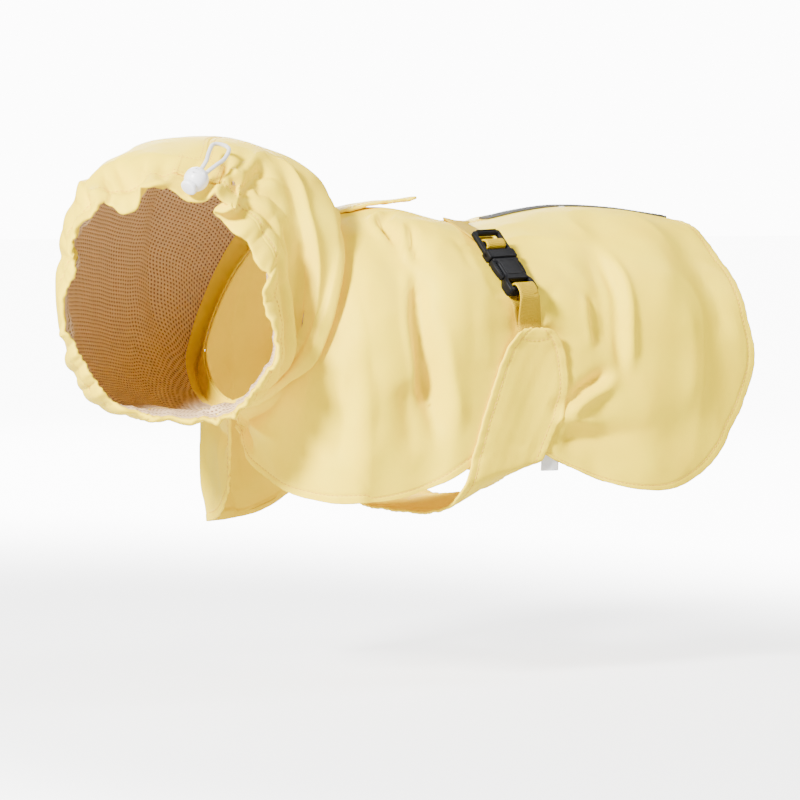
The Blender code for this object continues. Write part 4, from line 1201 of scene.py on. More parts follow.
@dataclass
class Hood:
    """Gathered hood with its casing, lining and cord patch."""

    form: CoatForm
    finishes: Finishes
    rings: Table = Table(
        ("at", "x", "y", "z", "yaw", "pitch", "near", "far", "up", "down", "twist", "square",
         "gather"),
        ((0.00, -186, -74, -64, 61, 3, 65, 63, 69, 65, 11, 2.3, 1.0),
         (0.08, -180, -63, -63, 61, 3, 69, 66, 79, 68, 11, 2.5, 1.0),
         (0.24, -167, -42, -60, 59, 4, 75, 71, 94, 71, 10, 2.8, 0.50),
         (0.42, -147, -16, -57, 41, 4, 78, 72, 101, 72, 8, 2.6, 0.16),
         (0.62, -119, 4, -56, 19, 8, 85, 72, 100, 76, 5, 2.3, 0.0),
         (0.82, -93, 5, -58, 8, 20, 84, 80, 91, 75, 2, 2.2, 0.0)))
    fold: Table = Table(
        ("angle", "back", "out"),
        ((0, 12.0, 9.5), (20, 13.0, 10.0), (45, 15.0, 12.0), (68, 15.5, 11.0), (90, 13.5, 9.5),
         (110, 11.5, 7.5), (125, 9.5, 7.0), (140, 8.0, 7.0), (160, 6.5, 7.0), (180, 5.5, 7.5)))
    fold_shape: tuple[tuple[float, float, float], ...] = (
        (0.94, 0.75, 1.0), (1.00, 1.0, 0.6), (1.06, 0.75, 0.22), (1.13, 0.38, 0.13))
    seam_at: float = 1.22
    groove: float = 0.090
    gathers: int = 26
    ruffle: float = 1.0
    gather_side: float = 0.55
    patch: tuple[float, float] = (9.0, 7.0)
    half: int = 210
    wall: float = 1.2
    brim: Table = Table(
        ("turn", "aside", "up", "fore"),
        ((-180, 4, -2, 0), (-160, 3, 1, 0), (-144, 3.3, 2.8, 0), (-128, 4.1, 2.9, 0.5),
         (-112, 0.4, 0.3, 0), (-106, -1.8, -4, 0), (-93, -0.7, 0, 1), (-84, 3.4, -0.3, -1),
         (-79, 1.5, -1.5, -1.5), (-73, -2.7, -1.7, 0), (-64, -6.4, 2.4, 1), (-54, -6.8, 3, 1.5),
         (-41, -5.4, 6.8, 2.5), (-34, -6.4, 2.6, 1.5), (-27, -5.7, -6.6, 1), (-23, -3.8, -5.2, 0),
         (-20, -6.2, 1.6, -2), (-17.5, -8.6, 8.8, -4), (-13, -7.1, 9.0, -4.5),
         (-9, -4.2, 9.4, -3), (-6, -5.0, 6.4, 0.5), (-2.5, -2.9, 2.4, 2.5), (2, -1, 1.0, 3.5),
         (6, 1.2, 2.6, 3), (9.5, 1.2, 8.0, 0.5), (12, 1.6, 11.0, -2), (15, 1.2, 7.6, -1),
         (18, 3.0, 5.4, 0), (21, 5.6, 3.2, -0.5), (24, -3.0, 2.0, 2), (28, -14.0, 4.0, 5.5),
         (33, -11.4, 4.0, 5), (39, -8.2, 1.2, 3), (46, -4.2, 1.4, 1.5), (54, -2.6, -2.2, 1),
         (62, 2.6, -1.2, 0), (66, 0.6, -0.2, -1), (72, -4, -1.0, -0.5), (82, -0.6, 0, 0),
         (90, 5.2, -1.9, 1), (96, 6.9, -4.4, 0.5), (102, 7.2, -6.4, -1.5), (112, 3.4, -4.2, 0),
         (124, 3.2, -5.6, 1), (136, 5.4, -6.6, 0), (150, 6.4, -4.8, 0), (165, 6, -3, 0),
         (180, 4, -2, 0)))
    brim_hold: tuple[float, ...] = (1.0, 0.50, 0.06, 0.0, 0.0, 0.0)
    creases: tuple[Crease, ...] = (
        Crease(((14, 0.13), (22, 0.17), (26, 0.28), (28, 0.56)), -2.6, 6.0, Kind.ROLL,
               ends=(0.1, 0.4)),
        Crease(((23, 0.62), (42, 0.64), (62, 0.66), (85, 0.74), (104, 0.86), (124, 0.90)),
               -2.6, 5.0, ends=(0.15, 0.3)),
        Crease(((30, 0.58), (46, 0.57), (66, 0.57), (88, 0.62), (110, 0.70)), 1.8, 6.0),
        Crease(((58, 0.10), (70, 0.13), (84, 0.17), (99, 0.20), (116, 0.26)), 4.2, 4.2,
               ends=(0.2, 0.3)),
        Crease(((70, 0.20), (88, 0.27), (104, 0.33), (124, 0.44)), -2.0, 5.5),
        Crease(((31, 0.11), (40, 0.13), (54, 0.16), (72, 0.19)), 2.4, 3.4, ends=(0.2, 0.5)),
        Crease(((31, 0.19), (37, 0.22), (47, 0.27), (64, 0.36)), 2.2, 4.4, ends=(0.2, 0.5)),
        Crease(((20, 0.17), (25, 0.24), (33, 0.34), (46, 0.48)), 2.0, 4.6, ends=(0.2, 0.5)),
        Crease(((46, 0.18), (64, 0.25), (80, 0.32), (98, 0.42)), 2.2, 5.0),
        Crease(((10.5, 0.04), (9, 0.13), (11, 0.26)), 3.0, 3.0, ends=(0.06, 0.5)),
        Crease(((-18, 0.02), (-19, 0.10), (-16, 0.22)), 3.4, 3.2, ends=(0.06, 0.5)),
        Crease(((-10.5, 0.02), (-11, 0.11), (-10, 0.20)), 2.8, 3.0, ends=(0.06, 0.5)),
        Crease(((-24, 0.06), (-28, 0.14), (-34, 0.28)), 2.6, 4.0, ends=(0.06, 0.5)),
        Crease(((-33, 0.06), (-37, 0.14), (-40, 0.26)), 2.2, 4.4, ends=(0.06, 0.5)),
        Crease(((-43, 0.05), (-49, 0.13), (-56, 0.27), (-62, 0.42)), -2.2, 5.0,
               ends=(0.06, 0.5)),
        Crease(((-56, 0.05), (-60, 0.14), (-66, 0.28)), 2.4, 4.6, ends=(0.06, 0.5)),
        Crease(((-80, 0.04), (-86, 0.16), (-92, 0.34)), 2.4, 5.0, ends=(0.06, 0.5)),
        Crease(((-106, 0.05), (-112, 0.20), (-114, 0.42)), 2.2, 6.0, ends=(0.06, 0.5)),
        Crease(((-134, 0.06), (-134, 0.26), (-128, 0.50)), 2.0, 6.5, ends=(0.06, 0.5)),
        Crease(((-20, 0.62), (-56, 0.64), (-90, 0.70), (-124, 0.84)), -2.0, 7.0),
        Crease(((-26, 0.30), (-44, 0.44), (-60, 0.56)), 1.8, 7.0),
        Crease(((150, 0.06), (146, 0.22), (138, 0.46)), 2.4, 5.5, ends=(0.06, 0.5)),
    )
    strength: float = 1.75
    slack: Slack = Slack((0.9, (38, 38, 60), 5.5), (1.2, (26, 26, 44), 2.5),
                         (0.4, (15, 15, 24), 9.5))
    seam_inset: float = 3.0
    degree: float = 1.35
    cut: float = 0.070
    casing_end: float = 0.082
    lining_span: tuple[float, float] = (0.045, 0.15)
    lined: tuple[int, int] = (12, 88)
    surface: Optional[Surface] = None

    def turns(self) -> tuple[Array, Array]:
        """Angle and side of each column, round from the crown on the near side."""
        count = 2 * self.half
        degrees = np.arange(count) * 360.0 / count
        return (np.where(degrees <= 180, degrees, 360 - degrees),
                np.where(degrees <= 180, NEAR, FAR))

    def phase(self, angle: Array, side: Array) -> Array:
        """Angle that the gathers' wave has reached, round the brim."""
        turn = np.radians(side * angle)
        return self.gathers * turn + 0.9 * np.sin(3 * turn + 1.0) + 0.6 * np.sin(5 * turn)

    def free(self, angle: Array) -> Array:
        """0 under the cord patch, which lies flat, and 1 away from it."""
        return np.clip((angle - self.patch[0]) / self.patch[1], 0, 1)

    def gather(self, angle: Array, side: Array) -> Array:
        """Gather wave round the brim, -1 to 1."""
        level = self.gather_side + (1 - self.gather_side) \
            * np.maximum(np.cos(np.radians(side * angle)), 0.0)
        return np.cos(self.phase(angle, side)) * level * self.free(angle)

    def keys(self, angle: Array, side: Array) -> tuple[Array, Array]:
        """Places from brim to neck seam, and the points there."""
        names, data = self.rings.columns, np.array(self.rings.rows, float)
        ring = {name: data[:, k][:, None] for k, name in enumerate(names)}
        turn = np.radians(side * -angle + ring["twist"])
        yaw, pitch = np.radians(ring["yaw"]), np.radians(ring["pitch"])
        zero = np.zeros_like(yaw)
        near = np.stack((np.sin(yaw), -np.cos(yaw), zero), -1)
        up = np.stack((np.cos(yaw) * np.sin(pitch), np.sin(yaw) * np.sin(pitch),
                       np.cos(pitch)), -1)
        sine, cosine, power = np.sin(turn), np.cos(turn), 2 / ring["square"]
        wide = np.sign(sine) * np.abs(sine) ** power
        wide = wide * np.where(sine > 0, ring["near"], ring["far"])
        tall = np.sign(cosine) * np.abs(cosine) ** power
        tall = tall * np.where(cosine > 0, ring["up"], ring["down"])
        centre = np.stack((ring["x"], ring["y"], ring["z"]), -1)
        points = centre + near * wide[..., None] + up * tall[..., None]
        push = self.gather(angle, side) * self.ruffle * ring["gather"]
        points = points + unit(points - centre) * push[..., None]
        edge = self.brim.at(np.where(side < 0, 1, -1) * angle)
        shove = (near * edge["aside"][:, None] + up * edge["up"][:, None]
                 + np.cross(near, up) * -edge["fore"][:, None])
        points = points + shove * np.array(self.brim_hold)[:, None, None]
        fold = self.fold.at(angle)
        share = self.form.rib_number(angle)
        neck = self.form.on(*self.form.rib_place(share, 0.0, side), side)
        hem = self.form.on(*self.form.rib_place(share, 1.0, side), side)
        length = np.linalg.norm(hem - neck, axis=-1)
        layers = [self.form.on(*self.form.rib_place(share, back * fold["back"] / length, side),
                               side, out * fold["out"]) for _, back, out in self.fold_shape]
        layers.append(self.form.neckline(angle, side, self.form.gap * 1.5))
        places = [row[0] for row in self.rings.rows] + [row[0] for row in self.fold_shape]
        return np.array(places + [self.seam_at]), np.concatenate((points, np.array(layers)))

    def base(self, angle: Array, side: Array, places: Array) -> Array:
        """Plain form of the hood, a row for each place."""
        return smooth(*self.keys(np.asarray(angle, float), np.asarray(side, float)), places)

    def above(self, turn: float, at: float, height: float) -> Vector:
        """Point over the plain form near the crown; turn counts up to the near side."""
        side = NEAR if turn >= 0 else FAR
        angle = abs(turn)
        here = self.base(np.array([angle, max(angle - 1, 0), min(angle + 1, 180)]), side,
                         np.array([at, max(at - 0.01, 0), at + 0.01]))
        out = np.cross(here[0, 2] - here[0, 1], here[2, 0] - here[1, 0]) * -side
        return Vector(here[0, 0] + unit(out) * height)

    def detail(self, grid: Array, places: Array, angle: Array, side: Array) -> Array:
        """Height of the creases, gathers and seams on a closed grid."""
        out = grid_normals(grid, True, Edge.LEFT)
        lift = np.zeros(grid[..., 0].size)
        for crease in self.creases:
            turn, at = crease.course(24).T
            line = self.base(np.abs(turn), np.where(turn >= 0, NEAR, FAR),
                             at)[np.arange(24), np.arange(24)]
            lift += self.strength * crease.lift(line, grid.reshape(-1, 3), out.reshape(-1, 3))
        lift = lift.reshape(out.shape[:2])
        phase, flat = self.phase(angle, side), self.free(angle)
        number = np.floor(phase / (2 * math.pi))
        reach = 0.16 + 0.34 * chance(number, 0.7)
        valley = (1 - np.abs(np.cos(phase / 2))) ** 2
        deep = (0.9 + 1.3 * chance(number, 2.9)) * np.clip(np.abs(self.gather(angle, side))
                                                           + 0.3, 0, 1)
        fade = step(1 - places[:, None] / reach[None])
        lift -= valley * deep * flat * fade * 1.4
        shell = step((0.97 - places) / 0.08)[:, None]
        lift += self.slack.lift(grid) * shell * flat
        deepest = -3.5 - 2.0 * step((places - 0.14) / 0.06) + 3.4 * step((places - 0.60) / 0.12)
        lift = np.maximum(lift, deepest[:, None])
        seam = np.minimum(angle, 180 - angle) * self.degree
        return (lift - seam_dip(seam, self.seam_inset)) * shell

    def shaped(self, angle: Array, side: Array, places: Array) -> Array:
        """The hood's face with its creases, a row for each place."""
        grid = self.base(angle, side, places)
        groove = -0.5 * bell(places - self.groove, 0.006)
        lift = self.detail(grid, places, angle, side) + groove[:, None]
        return grid + grid_normals(grid, True, Edge.LEFT) * lift[..., None]

    def build(self) -> None:
        """Halves, casing, lining, patch and stitches."""
        angle, side = self.turns()
        places = np.concatenate((np.linspace(self.cut, 0.30, 36, endpoint=False),
                                 np.linspace(0.30, 0.93, 54, endpoint=False),
                                 np.linspace(0.93, self.seam_at, 30)))
        grid = self.shaped(angle, side, places)
        normals = grid_normals(grid, True, Edge.LEFT)
        near, runs = np.arange(self.half + 1), []
        for name, order, edge in (("near", near, Edge.LEFT),
                                  ("far", -near % len(angle), Edge.RIGHT)):
            part = grid[:, order].copy()
            part[:, 0] += unit(part[:, 1] - part[:, 0]) * 0.15
            part[:, -1] += unit(part[:, -2] - part[:, -1]) * 0.15
            made = cloth(f"hood_{name}_cloth", part, self.wall,
                         [self.finishes.shell, self.finishes.lining], edge=edge,
                         lined=slice(*self.lined))
            start = edge_gaps(part)[2]
            runs.append(inset_line(part[4:95], normals[4:95, order], start[4:95],
                                   self.seam_inset, False))
            settle_sheet(made, "shell", part)
        order = np.arange(-self.half, self.half + 1)
        turns = np.linspace(-180, 180, len(order))
        self.surface = Surface(places, turns, grid[:, order], normals[:, order])
        round_it = np.linspace(-180, 180, 900)
        runs.append(self.surface.at(np.full(900, self.groove), round_it, 0.15))
        settle(StitchRun().sew("hood_stitches", runs, self.finishes.thread), "shell")
        self.casing(angle, side)
        self.lining(angle[::2], side[::2])
        self.cord_patch()

    def casing(self, angle: Array, side: Array) -> None:
        """Stitched tunnel round the face, ruffled by the elastic in it."""
        steps = np.arange(18)
        round_it = steps * 2 * math.pi / len(steps)
        places = np.clip(0.041 + 0.040 * np.cos(round_it), 0, self.casing_end)
        puff = np.sign(np.sin(round_it)) * np.abs(np.sin(round_it)) ** 0.7
        grid = self.shaped(angle, side, np.sort(places) + steps * 1e-5)
        rank = np.argsort(np.argsort(places))
        out = grid_normals(grid, True, Edge.LEFT)
        phase, turn = self.phase(angle, side), side * angle
        flat = 0.35 + 0.65 * self.free(angle)
        fore = unit(grid[0] - grid[-1])
        ruffle = 1.5 * np.sin(phase + 1.2) + 0.8 * ripple(turn, 19.0, 2.0)
        rise = 0.5 * np.cos(2 * phase) + 0.6 * ripple(turn, 7.0, 5.0)
        swell = (1.9 * puff - 1.4)[:, None] * (1 + 0.18 * np.cos(phase))[None]
        share = ((self.casing_end - places) / self.casing_end)[:, None]
        tunnel = (grid[rank] + out[rank] * (swell + rise * flat * share)[..., None]
                  + fore[None] * (ruffle * flat * share)[..., None])
        settle_sheet(tube("hood_casing_cloth", tunnel, self.finishes.shell), "shell",
                     tunnel[:10])

    def lining(self, angle: Array, side: Array) -> None:
        """Mesh lining inside the brim."""
        places = np.linspace(*self.lining_span, 15)
        grid = self.shaped(angle, side, places)
        ring = self.rings.at(places)
        centre = np.stack((ring["x"], ring["y"], ring["z"]), -1)[:, None]
        push = (1 + self.gather(angle, side))[None] * self.ruffle * ring["gather"][:, None]
        tuck = (2.0 + 1.8 * step((places - places[0]) / 0.03))[:, None]
        grid = grid + unit(centre - grid) * (tuck + push)[..., None]
        made = cloth("hood_lining_mesh", grid, 0.9, [self.finishes.lining], True, Edge.LEFT)
        settle_sheet(made, "lining", np.pad(grid, ((0, 0), (0, 1), (0, 0)), "wrap"))

    def cord_patch(self) -> None:
        """Small patch on the crown with a row of stitches round it."""
        inset = 1.9
        grid = self.surface.at(*np.meshgrid(np.linspace(0.092, 0.20, 24),
                                            np.linspace(-8.5, 8.5, 26), indexing="ij"), 1.0)
        normals = grid_normals(grid, False, Edge.LEFT)
        gaps = edge_gaps(grid)
        dip = -0.3 * bell(np.minimum.reduce(gaps) - inset, 0.6)
        grid = grid + normals * dip[..., None]
        made = cloth("cord_patch_cloth", grid, 0.8, [self.finishes.shell], edge=Edge.LEFT)
        lines = [inset_line(grid, normals, gap, inset, k < 2) for k, gap in enumerate(gaps)]
        sewn = StitchRun(2.4, 1.8, 0.25).sew("cord_patch_stitches", lines,
                                             self.finishes.thread)
        settle_sheet(made, "shell", grid, sewn)


# --- pieces on the coat

@dataclass
class LeashFlap:
    """Two-layer tongue that springs up behind the hood."""

    form: CoatForm
    finishes: Finishes
    station: float = 18.0
    length: float = 61.0
    half: float = 17.0
    rise: float = 3.8
    lean: float = 1.2
    wall: float = 2.2
    inset: float = 4.2

    def build(self) -> None:
        """Flap with rounded corners, pressed edges and topstitching."""
        share, across = np.meshgrid(np.linspace(0, 1, 64), np.linspace(1, -1, 34))
        end = np.clip((share - 0.9) / 0.1, 0, 1)
        width = self.half * (0.9 + 0.1 * share) * (1 - 0.16 * end ** 2)
        station = self.station + self.length * share
        spine = self.form.bare(np.minimum(station, 55.0), 0.0, NEAR)[..., 2]
        rise = self.form.gap + self.wall + self.rise * share ** 1.5
        z = spine + rise - self.lean * across * share
        z = z - self.lean * across ** 2 * (1 - 0.5 * share)
        x = self.form.pole_x + station - 2.2 * end * across ** 2
        grid = np.stack((x, across * width, z), -1)
        up = grid_normals(grid, False, Edge.RIGHT)
        gaps = edge_gaps(grid)
        rim = np.minimum.reduce((gaps[0], gaps[1], gaps[3]))
        lift = hem_lift(rim, station, self.inset, 2.2, 0.15) + 0.2 * ripple(station, 23.0, 4.0)
        grid = grid + up * lift[..., None]
        made = cloth("leash_flap_cloth", grid, self.wall - 0.3, [self.finishes.shell])
        lines = [inset_line(grid, up, gaps[k], self.inset, k < 2)[cut]
                 for k, cut in ((0, slice(-4)), (1, slice(-4)), (3, slice(4, -4)))]
        sewn = StitchRun().sew("leash_flap_stitches", lines, self.finishes.thread)
        settle_sheet(made, "shell", grid, sewn=sewn)


@dataclass
class BackStrip:
    """Plain grey strip over the rear of the centre-back seam."""

    cape: Cape
    finishes: Finishes
    start: float = 136.0
    end: float = 276.0
    half: float = 5.5
    wall: float = 1.4
    height: float = 1.5
    inset: float = 1.1

    def build(self) -> None:
        """Strip laid on the cape, with a row of stitches near each edge."""
        stations = np.linspace(self.start, self.end, 110)
        data = self.cape.form.sections.at(stations)
        rows = []
        for across in np.linspace(1, -1, 15):
            ratio = (abs(across) * self.half / data["half_width"]) ** (data["square"] / 2)
            q = np.maximum(np.arcsin(ratio) / (math.pi / 2), 0.008)
            side = NEAR if across < 0 else FAR
            rows.append([self.cape.over(*place, side, self.height)
                         for place in zip(stations, q)])
        grid = np.array(rows)
        up = grid_normals(grid, False, Edge.RIGHT)
        made = cloth("back_strip_tape", grid, self.wall, [self.finishes.strip])
        lines = [inset_line(grid, up, gap, self.inset, True, 0.1)
                 for gap in edge_gaps(grid)[:2]]
        sewn = StitchRun(2.6, 1.9, 0.2).sew("back_strip_stitches", lines,
                                            self.finishes.strip)
        settle_sheet(made, "strip", grid, sewn=sewn)


@dataclass
class BellyBand:
    """Round-ended band over the near side, under the belly and inside the far side."""

    cape: Cape
    finishes: Finishes
    near: Table = Table(
        ("step", "centre", "half", "z", "rear_up", "lift"),
        ((0, 114.5, 9.5, -77, 0, 5.4), (1, 114.5, 15.5, -81, 0, 5.2),
         (2, 114, 22.5, -93, 0, 2.4), (3, 110, 29.0, -118, 0, 1.0),
         (4, 101, 30.0, -142, 2, 1.0), (5, 91, 29.5, -167, 5.5, 1.2)))
    under: tuple[tuple[float, ...], ...] = (
        (88, 29.5, -91, -176, 13.5), (86, 29.5, -66, -184, 11), (86, 29.5, -30, -191, 6),
        (87, 29.5, 10, -194, 3), (89, 29.5, 48, -192, 1), (92, 29.5, 78, -182, 0))
    far: tuple[tuple[float, ...], ...] = (
        (95, 29.0, -170, 7.0), (97, 29.0, -160, 3.0), (100, 28.5, -146, 0.9),
        (102, 28.0, -126, 0.6), (104, 26.0, -110, 0.6))
    wall: float = 1.2
    inset: float = 5.8
    end_inset: float = 8.4

    def near_line(self, across: float, table: dict[str, Array]) -> list[Vector]:
        """Points down the near side, at a share of the way across the band."""
        made = []
        for centre, half, z, rear_up, lift in zip(*table.values()):
            station, low = centre + across * half, z + across * rear_up
            made.append(self.cape.at_height(station, low, NEAR, lift + self.wall))
        return made

    def build(self) -> None:
        """Band with stitched edges and soft creases along it."""
        cape = self.cape
        table = self.near.at(np.linspace(0, 1, 52) ** 0.8 * 5)
        rows = []
        for across in np.linspace(-1, 1, 47):
            line = self.near_line(across, table)
            rest = [(cape.form.pole_x + c + across * h, y, z + across * up)
                    for c, h, y, z, up in self.under]
            rest += [cape.at_height(c + across * h, z, FAR, -inside - cape.wall)
                     for c, h, z, inside in self.far]
            points = np.array([tuple(p) for p in [line[-8], line[-1]] + rest])
            run = run_of(points)
            tail = smooth(run, points, run[1] + (run[-1] - run[1]) * np.linspace(0, 1, 90)[1:])
            rows.append(np.concatenate((np.array(line), tail)))
        grid = np.array(rows)
        grid[:, 2:52] = (grid[:, 1:51] + grid[:, 2:52] * 2 + grid[:, 3:53]) / 4
        out = grid_normals(grid, False, Edge.LEFT)
        low, high, start, _ = edge_gaps(grid)
        rim = np.minimum(low, high)
        along = np.broadcast_to(run_of(grid[23]), rim.shape)
        fade = step(along / 14.0) * step((150.0 - along) / 60.0)
        lift = hem_lift(rim, along, self.inset, 6.1, 0.5)
        lift += 0.4 * ripple(low * 0.8 + along * 0.06, 17.0, 1.4) * fade * step(rim / 9.0)
        lift -= 0.45 * bell(start - self.end_inset, 0.9) * step((rim - 3) / 3)
        lift += 0.5 * cloudy(grid, (30, 30, 60), 2.2)
        grid = grid + out * lift[..., None]
        thick = 0.6 * step((self.inset + 0.6 - np.minimum(rim, start * 0.7)) / 1.2)
        made = cloth("belly_band_cloth", grid, self.wall, [self.finishes.shell],
                     edge=Edge.LEFT, thick=thick)
        ways = grid_normals(grid, False, Edge.LEFT)
        gaps = edge_gaps(grid)
        lines = [inset_line(grid[:, 3:], ways[:, 3:], gap[:, 3:], self.inset, True)
                 for gap in gaps[:2]]
        lines.append(inset_line(grid[7:-7], ways[7:-7], gaps[2][7:-7], self.end_inset, False))
        sewn = StitchRun().sew("belly_band_stitches", lines, self.finishes.thread)
        settle_sheet(made, "shell", grid,
                     sewn)


@dataclass
class Strap:
    """Golden webbing over the back and its side-release buckle."""

    cape: Cape
    finishes: Finishes
    width: float = 16.0
    wall: float = 1.3
    lift: float = 0.9
    station: float = 96.0
    slant: float = 18.0
    low_station: float = 110.0
    far_z: float = -34.0
    slope: float = math.radians(4.5)
    swell: float = 1.08
    top_z: float = -73.0
    end_z: float = -80.0
    bar: float = 8.6
    spine: tuple[tuple[float, float, float], ...] = (
        (0.01, FAR, 17.0), (0.03, NEAR, 15.5), (0.06, NEAR, 12.5), (0.09, NEAR, 9.0),
        (0.12, NEAR, 5.8))

    def frame(self) -> Matrix:
        """Place of the buckle: X across the strap, Y up along it, Z off the coat."""
        data = bpy.data.objects["buckle_male"].data
        points = np.array([tuple(v.co) for v in data.vertices]) / MM
        points = np.unique(np.round(points, 3), axis=0)
        middle = points.mean(0)
        _, _, axes = np.linalg.svd(points - middle, full_matrices=False)
        up = axes[0] * np.sign(axes[0][2])
        away = axes[2] * -np.sign(axes[2][1])
        across = np.cross(up, away)
        turn = np.array((across, up, away))
        local = (points - middle) @ turn.T
        centre = (local.max(0) + local.min(0)) / 2 - np.array((0, 6.75, 0))
        made = Matrix(turn.T.tolist()).to_4x4()
        made.translation = Vector(middle + centre @ turn) * MM
        pivot = Matrix.Translation((0, -20 * MM, 0))
        return (made @ pivot @ Matrix.Rotation(self.slope, 4, "Z") @ pivot.inverted()
                @ Matrix.Scale(self.swell, 4))

    def ribbon(self, name: str, stations: Sequence[tuple[Vector, Vector]]) -> None:
        """Webbing along middles and ways across it."""
        face, ways = (np.array([tuple(v) for v in part]) for part in zip(*stations))
        run = run_of(face)
        stops = np.linspace(0, run[-1], int(run[-1] / 1.3) + 2)
        here, across = smooth(run, face, stops), smooth(run, ways, stops)
        ahead = unit(smooth(run, face, stops + 0.4) - smooth(run, face, stops - 0.4))
        aside = unit(across - ahead * (across * ahead).sum(1)[:, None])
        places = np.linspace(-0.5, 0.5, 11)[None, :, None]
        grid = here[:, None] + aside[:, None] * places * self.width
        made = cloth(name, grid, self.wall, [self.finishes.webbing], edge=Edge.LEFT)
        settle_sheet(made, "webbing", grid)

    def build(self) -> None:
        """Webbing through the ladder and from the socket to the band, and the buckle."""
        form, frame = self.cape.form, self.frame()
        turn, centre = frame.to_3x3(), frame.translation / MM
        across = turn @ Vector((1, 0, 0))

        def local(*route: tuple[float, float]) -> list[tuple[Vector, Vector]]:
            """Stations given along and over the buckle."""
            return [(centre + turn @ Vector((0, y, z)), across) for y, z in route]

        def laid(station: float, q: float, side: float,
                 height: float) -> tuple[Vector, Vector]:
            """Station on the cape."""
            return self.cape.strap(station, q, side, self.width, height)

        far = float(form.q_at(self.station, self.far_z))
        stations = [laid(self.station + self.slant * k / 12, far * (1 - k / 12), FAR,
                         self.lift) for k in range(12)]
        stations += [laid(self.station + more, q, side, self.lift)
                     for q, side, more in self.spine]
        stations += local((21.5, -4.3), (17.6, -3.4), (15.9, -1.0), (15.6, 0.8), (14.6, 2.0),
                          (13.2, 2.3), (11.9, 2.0), (11.0, 0.9), (10.8, -1.2), (9.6, -3.4),
                          (6.8, -4.1), (3.4, -4.2))
        self.ribbon("webbing_back_tape", stations)
        end, top = ((self.low_station + more, float(form.q_at(self.low_station + more, z)))
                    for more, z in ((2, self.end_z), (1, self.top_z)))
        under = 0.6 + self.wall
        stations = [laid(*place, NEAR, under) for place in (end, top)]
        stations += local((-28.0, -4.7), (-24.5, -4.3), (-20.5, -4.1), (-19.6, -3.3),
                          (-19.4, 0.0), (-19.6, 3.3), (-20.5, 4.0), (-24.5, 3.9), (-28.5, 1.6))
        stations += [laid(*top, NEAR, under + 1.0), laid(*end, NEAR, under + 0.5)]
        self.ribbon("webbing_side_tape", stations)
        self.buckle(frame)

    def buckle(self, frame: Matrix) -> None:
        """Ladder half with its arms, and the socket with its feet."""
        bar = self.bar

        def part(name: str, depth: float, lift: float, rim: float, *lines: Outline) -> Piece:
            """One moulded shape of the buckle."""
            return moulded(name, lines, depth, lift, rim, frame, self.finishes.black)

        male = [part("ladder", 3.2, 0.0, 0.9, box(-11.5, 11.5, 2, 23.5, 2.4),
                     box(-bar, bar, 8.4, 11.5), box(-bar, bar, 15.0, 20.5)),
                part("base", 6.2, 0.0, 1.1, box(-11.5, 11.5, 1.6, 8.2, 1.4))]
        arm = ((9.0, 1.3), (11.0, 1.0), (11.9, -4.0), (11.4, -9.5), (10.0, -12.4),
               (9.0, -12.4))
        male += [part("arm", 4.2, 0.0, 1.0, rounded([(s * x, y) for x, y in arm], 1.2))
                 for s in (-1, 1)]
        male += [part("grip", 1.0, 1.6, 0.3, box(-8.2, 8.2, y, y + 0.9, 0.3))
                 for y in (21.2, 22.6)]
        settle(joined("buckle_male_body", male), "buckle", "buckle_male")
        left = [(-10.6, 1.3), (-10.6, -0.8), (-8.5, -2.4), (-8.5, -11.6), (-9.6, -13.4),
                (-11.8, -16.2), (-11.8, -23.5)]
        outline = rounded(left + [(-x, y) for x, y in reversed(left)], 1.8)
        panel = rounded([(-6.8, -0.6), (6.8, -0.6), (6.8, -11.6), (-6.8, -11.6)], 1.5)
        female = [part("socket", 6.4, 0.0, 1.1, outline, box(-bar, bar, -20.3, -14.9)),
                  part("socket_panel", 1.0, 3.0, 0.4, panel)]
        settle(joined("buckle_female_body", female), "buckle", "buckle_female")


